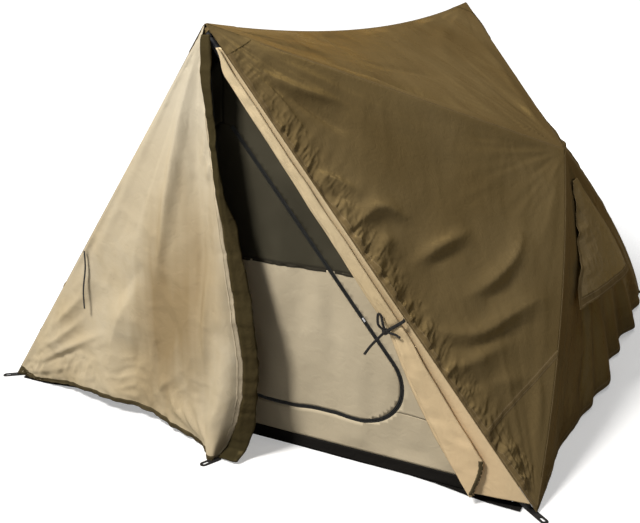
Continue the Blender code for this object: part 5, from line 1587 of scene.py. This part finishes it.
def build_tabs():
    """Webbing loops at the corners and at the left door's foot, each with a bound slot for its peg."""
    tabs = []
    for side_name, side in sides.items():
        for end_name, end in ends.items():
            foot = vec(side * (half_width - foot_inset_x), end * (half_depth - foot_inset_y), 0.0)
            outer = vec(side * half_width, end * half_depth, 0.0)
            outer = outer + unit(vec(side, end, 0.0)) * (tab_reach - tab_width / 2)
            tabs.append((f"corner_tab_{end_name}_{side_name}", f"corner_webbing_{end_name}_{side_name}", "shelter",
                         foot, outer))
    corner = points["door_corner"]
    prow = corner + (points["front_left_corner"] - corner) * (1.0 - prow_place)
    prow = vec(prow[0], prow[1] - prow_depth, 0.0)
    heading = unit(vec(-0.45, -1.0, 0.0))
    tabs.append(("door_peg_tab", "door_webbing", "left_door", prow - heading * 0.012,
                 prow + heading * (tab_reach - tab_width / 2)))
    angle = np.linspace(0.0, 2.0 * math.pi, 72, endpoint=False)

    def slot_shape(long, wide, centre):
        """A slot-shaped outline, in metres along and across the tab."""
        radius = wide / 2
        x = np.where(np.cos(angle) >= 0, 1.0, -1.0) * (long / 2 - radius) + radius * np.cos(angle)
        return x + centre, radius * np.sin(angle)

    # Rings from the outer edge, over the top to the slot and back below, in shares of the way and of the thickness
    rings = ((0.0, 0.35), (0.0, 0.75), (0.06, 1.0), (0.30, 0.93), (0.60, 0.93), (0.82, 1.0), (0.94, 1.12), (1.0, 0.8),
             (1.0, 0.25), (0.92, 0.0), (0.5, 0.0), (0.06, 0.0), (0.0, 0.35))
    for node, name, body, inner, outer in tabs:
        length = np.linalg.norm(outer - inner) + tab_width
        heading = unit(outer - inner)
        sideways = vec(-heading[1], heading[0], 0.0)
        outlines = (slot_shape(length, tab_width, 0.0),
                    slot_shape(tab_slot_length, tab_slot_width, length / 2 - tab_slot_edge - tab_slot_length / 2))
        edge, slot = ((inner + outer) / 2 + np.outer(x, heading) + np.outer(y, sideways) for x, y in outlines)
        rows = [edge * (1.0 - share) + slot * share + (0.0, 0.0, height * tab_thickness) for share, height in rings]
        add_strip(name, rows, webbing_black, body, [node], closed=True)


def build_hangers():
    """Short straps that hang the inner tent's peaks from the pole frames."""
    half, inset = 0.0068, 0.0018
    for end_name, end in ends.items():
        low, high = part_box("peak_hanger_" + end_name)
        near, far = (low.y, high.y) if end > 0 else (high.y, low.y)
        bottom = vec(0.0, near + end * inset, low.z + 0.0008)
        top = vec(0.0, far - end * inset, high.z)
        rows = []
        for t in np.linspace(0.0, 1.0, 24):
            narrow = 1.0 - 0.93 * ramp(0.45, 1.0, t)
            rows.append(bottom * (1.0 - t) + top * t
                        + np.outer(np.linspace(-1.0, 1.0, 9) * half * narrow, (1, 0, 0)))
        add_strip("inner_hanger_" + end_name, rows, webbing_black, "shelter", ["peak_hanger_" + end_name],
                  0.0022)


# ---- Camera, lights and floor ----


def link_object(name, data, matrix):
    item = bpy.data.objects.new(name, data)
    bpy.context.collection.objects.link(item)
    item.matrix_world = matrix
    return item


def background_rays(tree):
    """One for the rays that show the white background: from the camera, or by a mirror or glass."""
    ray = add_node(tree, "ShaderNodeLightPath")
    seen = math_node(tree, "MAXIMUM", ray.outputs["Is Camera Ray"], ray.outputs["Is Glossy Ray"])
    return math_node(tree, "MAXIMUM", seen, ray.outputs["Is Transmission Ray"])


def build_camera():
    azimuth, pitch, roll = (math.radians(v) for v in (camera_azimuth, camera_pitch, camera_roll))
    forward = Vector((-math.sin(azimuth) * math.cos(pitch), math.cos(azimuth) * math.cos(pitch), -math.sin(pitch)))
    level = Vector((math.cos(azimuth), math.sin(azimuth), 0.0))
    upward = level.cross(forward)
    x_axis = level * math.cos(roll) + upward * math.sin(roll)
    y_axis = -level * math.sin(roll) + upward * math.cos(roll)
    lens = bpy.data.cameras.new("camera")
    lens.sensor_width = 36.0
    lens.lens = lens.sensor_width * focal_pixels / image_width
    turn = Matrix((x_axis, y_axis, -forward)).transposed().to_4x4()
    bpy.context.scene.camera = link_object("camera", lens, Matrix.Translation(camera_place) @ turn)


def build_stage():
    """Camera, soft lamps round the tent, a world that is dim for the object, and a pale floor."""
    build_camera()
    middle = Vector((0.0, 0.0, 0.6))
    for name, place, size, power, colour in (
        ("key", (-1.5, -4.4, 5.2), 1.2, 425.0, (1.0, 0.975, 0.94)),
        ("crest", (1.3, 2.6, 5.2), 1.6, 60.0, (1.0, 0.99, 0.97)),
        ("back", (-2.6, 6.0, 3.4), 2.4, 90.0, (0.98, 0.99, 1.0)),
        ("fill", (-3.5, -6.5, 2.2), 2.0, 60.0, (0.97, 0.98, 1.0)),
    ):
        lamp = bpy.data.lights.new(name, "AREA")
        lamp.shape, lamp.size, lamp.energy, lamp.color = "SQUARE", size, power, colour
        turn = (middle - Vector(place)).to_track_quat("-Z", "Y").to_matrix().to_4x4()
        link_object(name, lamp, Matrix.Translation(place) @ turn)

    world = bpy.data.worlds.new("studio")
    bpy.context.scene.world = world
    world.use_nodes = True
    tree = world.node_tree
    background = tree.nodes["Background"]
    background.inputs["Color"].default_value = (1.0, 1.0, 1.0, 1.0)
    tree.links.new(span(tree, background_rays(tree), 0.098, 1.0, 0.0, 1.0), background.inputs["Strength"])

    reach = 60.0
    floor = bpy.data.meshes.new("floor")
    floor.from_pydata([(-reach, -reach, 0), (reach, -reach, 0), (reach, reach, 0), (-reach, reach, 0)], [],
                      [(0, 1, 2, 3)])
    mat, tree, shader = new_material("floor_paper", (0.86, 0.86, 0.86), 0.9)
    here = coordinates(tree)
    seen = background_rays(tree)
    paper = spotted(tree, here, 3.0, (0.855, 0.855, 0.855), (0.865, 0.865, 0.865), detail=3.0)
    away = add_node(tree, "ShaderNodeVectorMath", operation="LENGTH")
    tree.links.new(here, away.inputs[0])
    glow = span(tree, away.outputs["Value"], 0.34, 1.0, 1.6, 4.5)
    shader.inputs["Emission Color"].default_value = (1.0, 1.0, 1.0, 1.0)
    finish(tree, shader, Base_Color=mixed(tree, seen, (0.20, 0.20, 0.20), paper),
           Emission_Strength=math_node(tree, "MULTIPLY", glow, seen))
    floor.materials.append(mat)
    link_object("floor", floor, Matrix.Translation((0.0, 0.0, -0.0005)))
    bpy.context.scene.view_settings.view_transform = "Standard"


# ---- CAD nodes that stay ----


def finish_hardware():
    looks = {
        "pole_upper": tube_metal, "pole_lower": tube_metal, "shoulder_strut": tube_metal,
        "pole_foot": foot_rubber, "strut_foot": foot_rubber, "peak_hub": fitting_plastic,
        "door_zip_slider": slider_metal, "inner_zip_slider": slider_metal,
    }
    for name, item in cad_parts.items():
        for start, mat in looks.items():
            if name.startswith(start):
                item.data.materials.clear()
                item.data.materials.append(mat)


build_stage()
finish_hardware()
build_door_tie()
build_loose_tie()
canopy = build_canopy()
trees = canopy_trees(canopy)
fly_bands = [build_seams(trees), build_hems()]
for end_name in ends:
    build_cap(trees, end_name)
for side_name in sides:
    build_vent_hood(side_name)
build_inner_front()
build_long_walls()
build_rear_wall()
build_tub()
build_tabs()
build_hangers()
build_left_door()
build_outer_zip()
build_right_door()
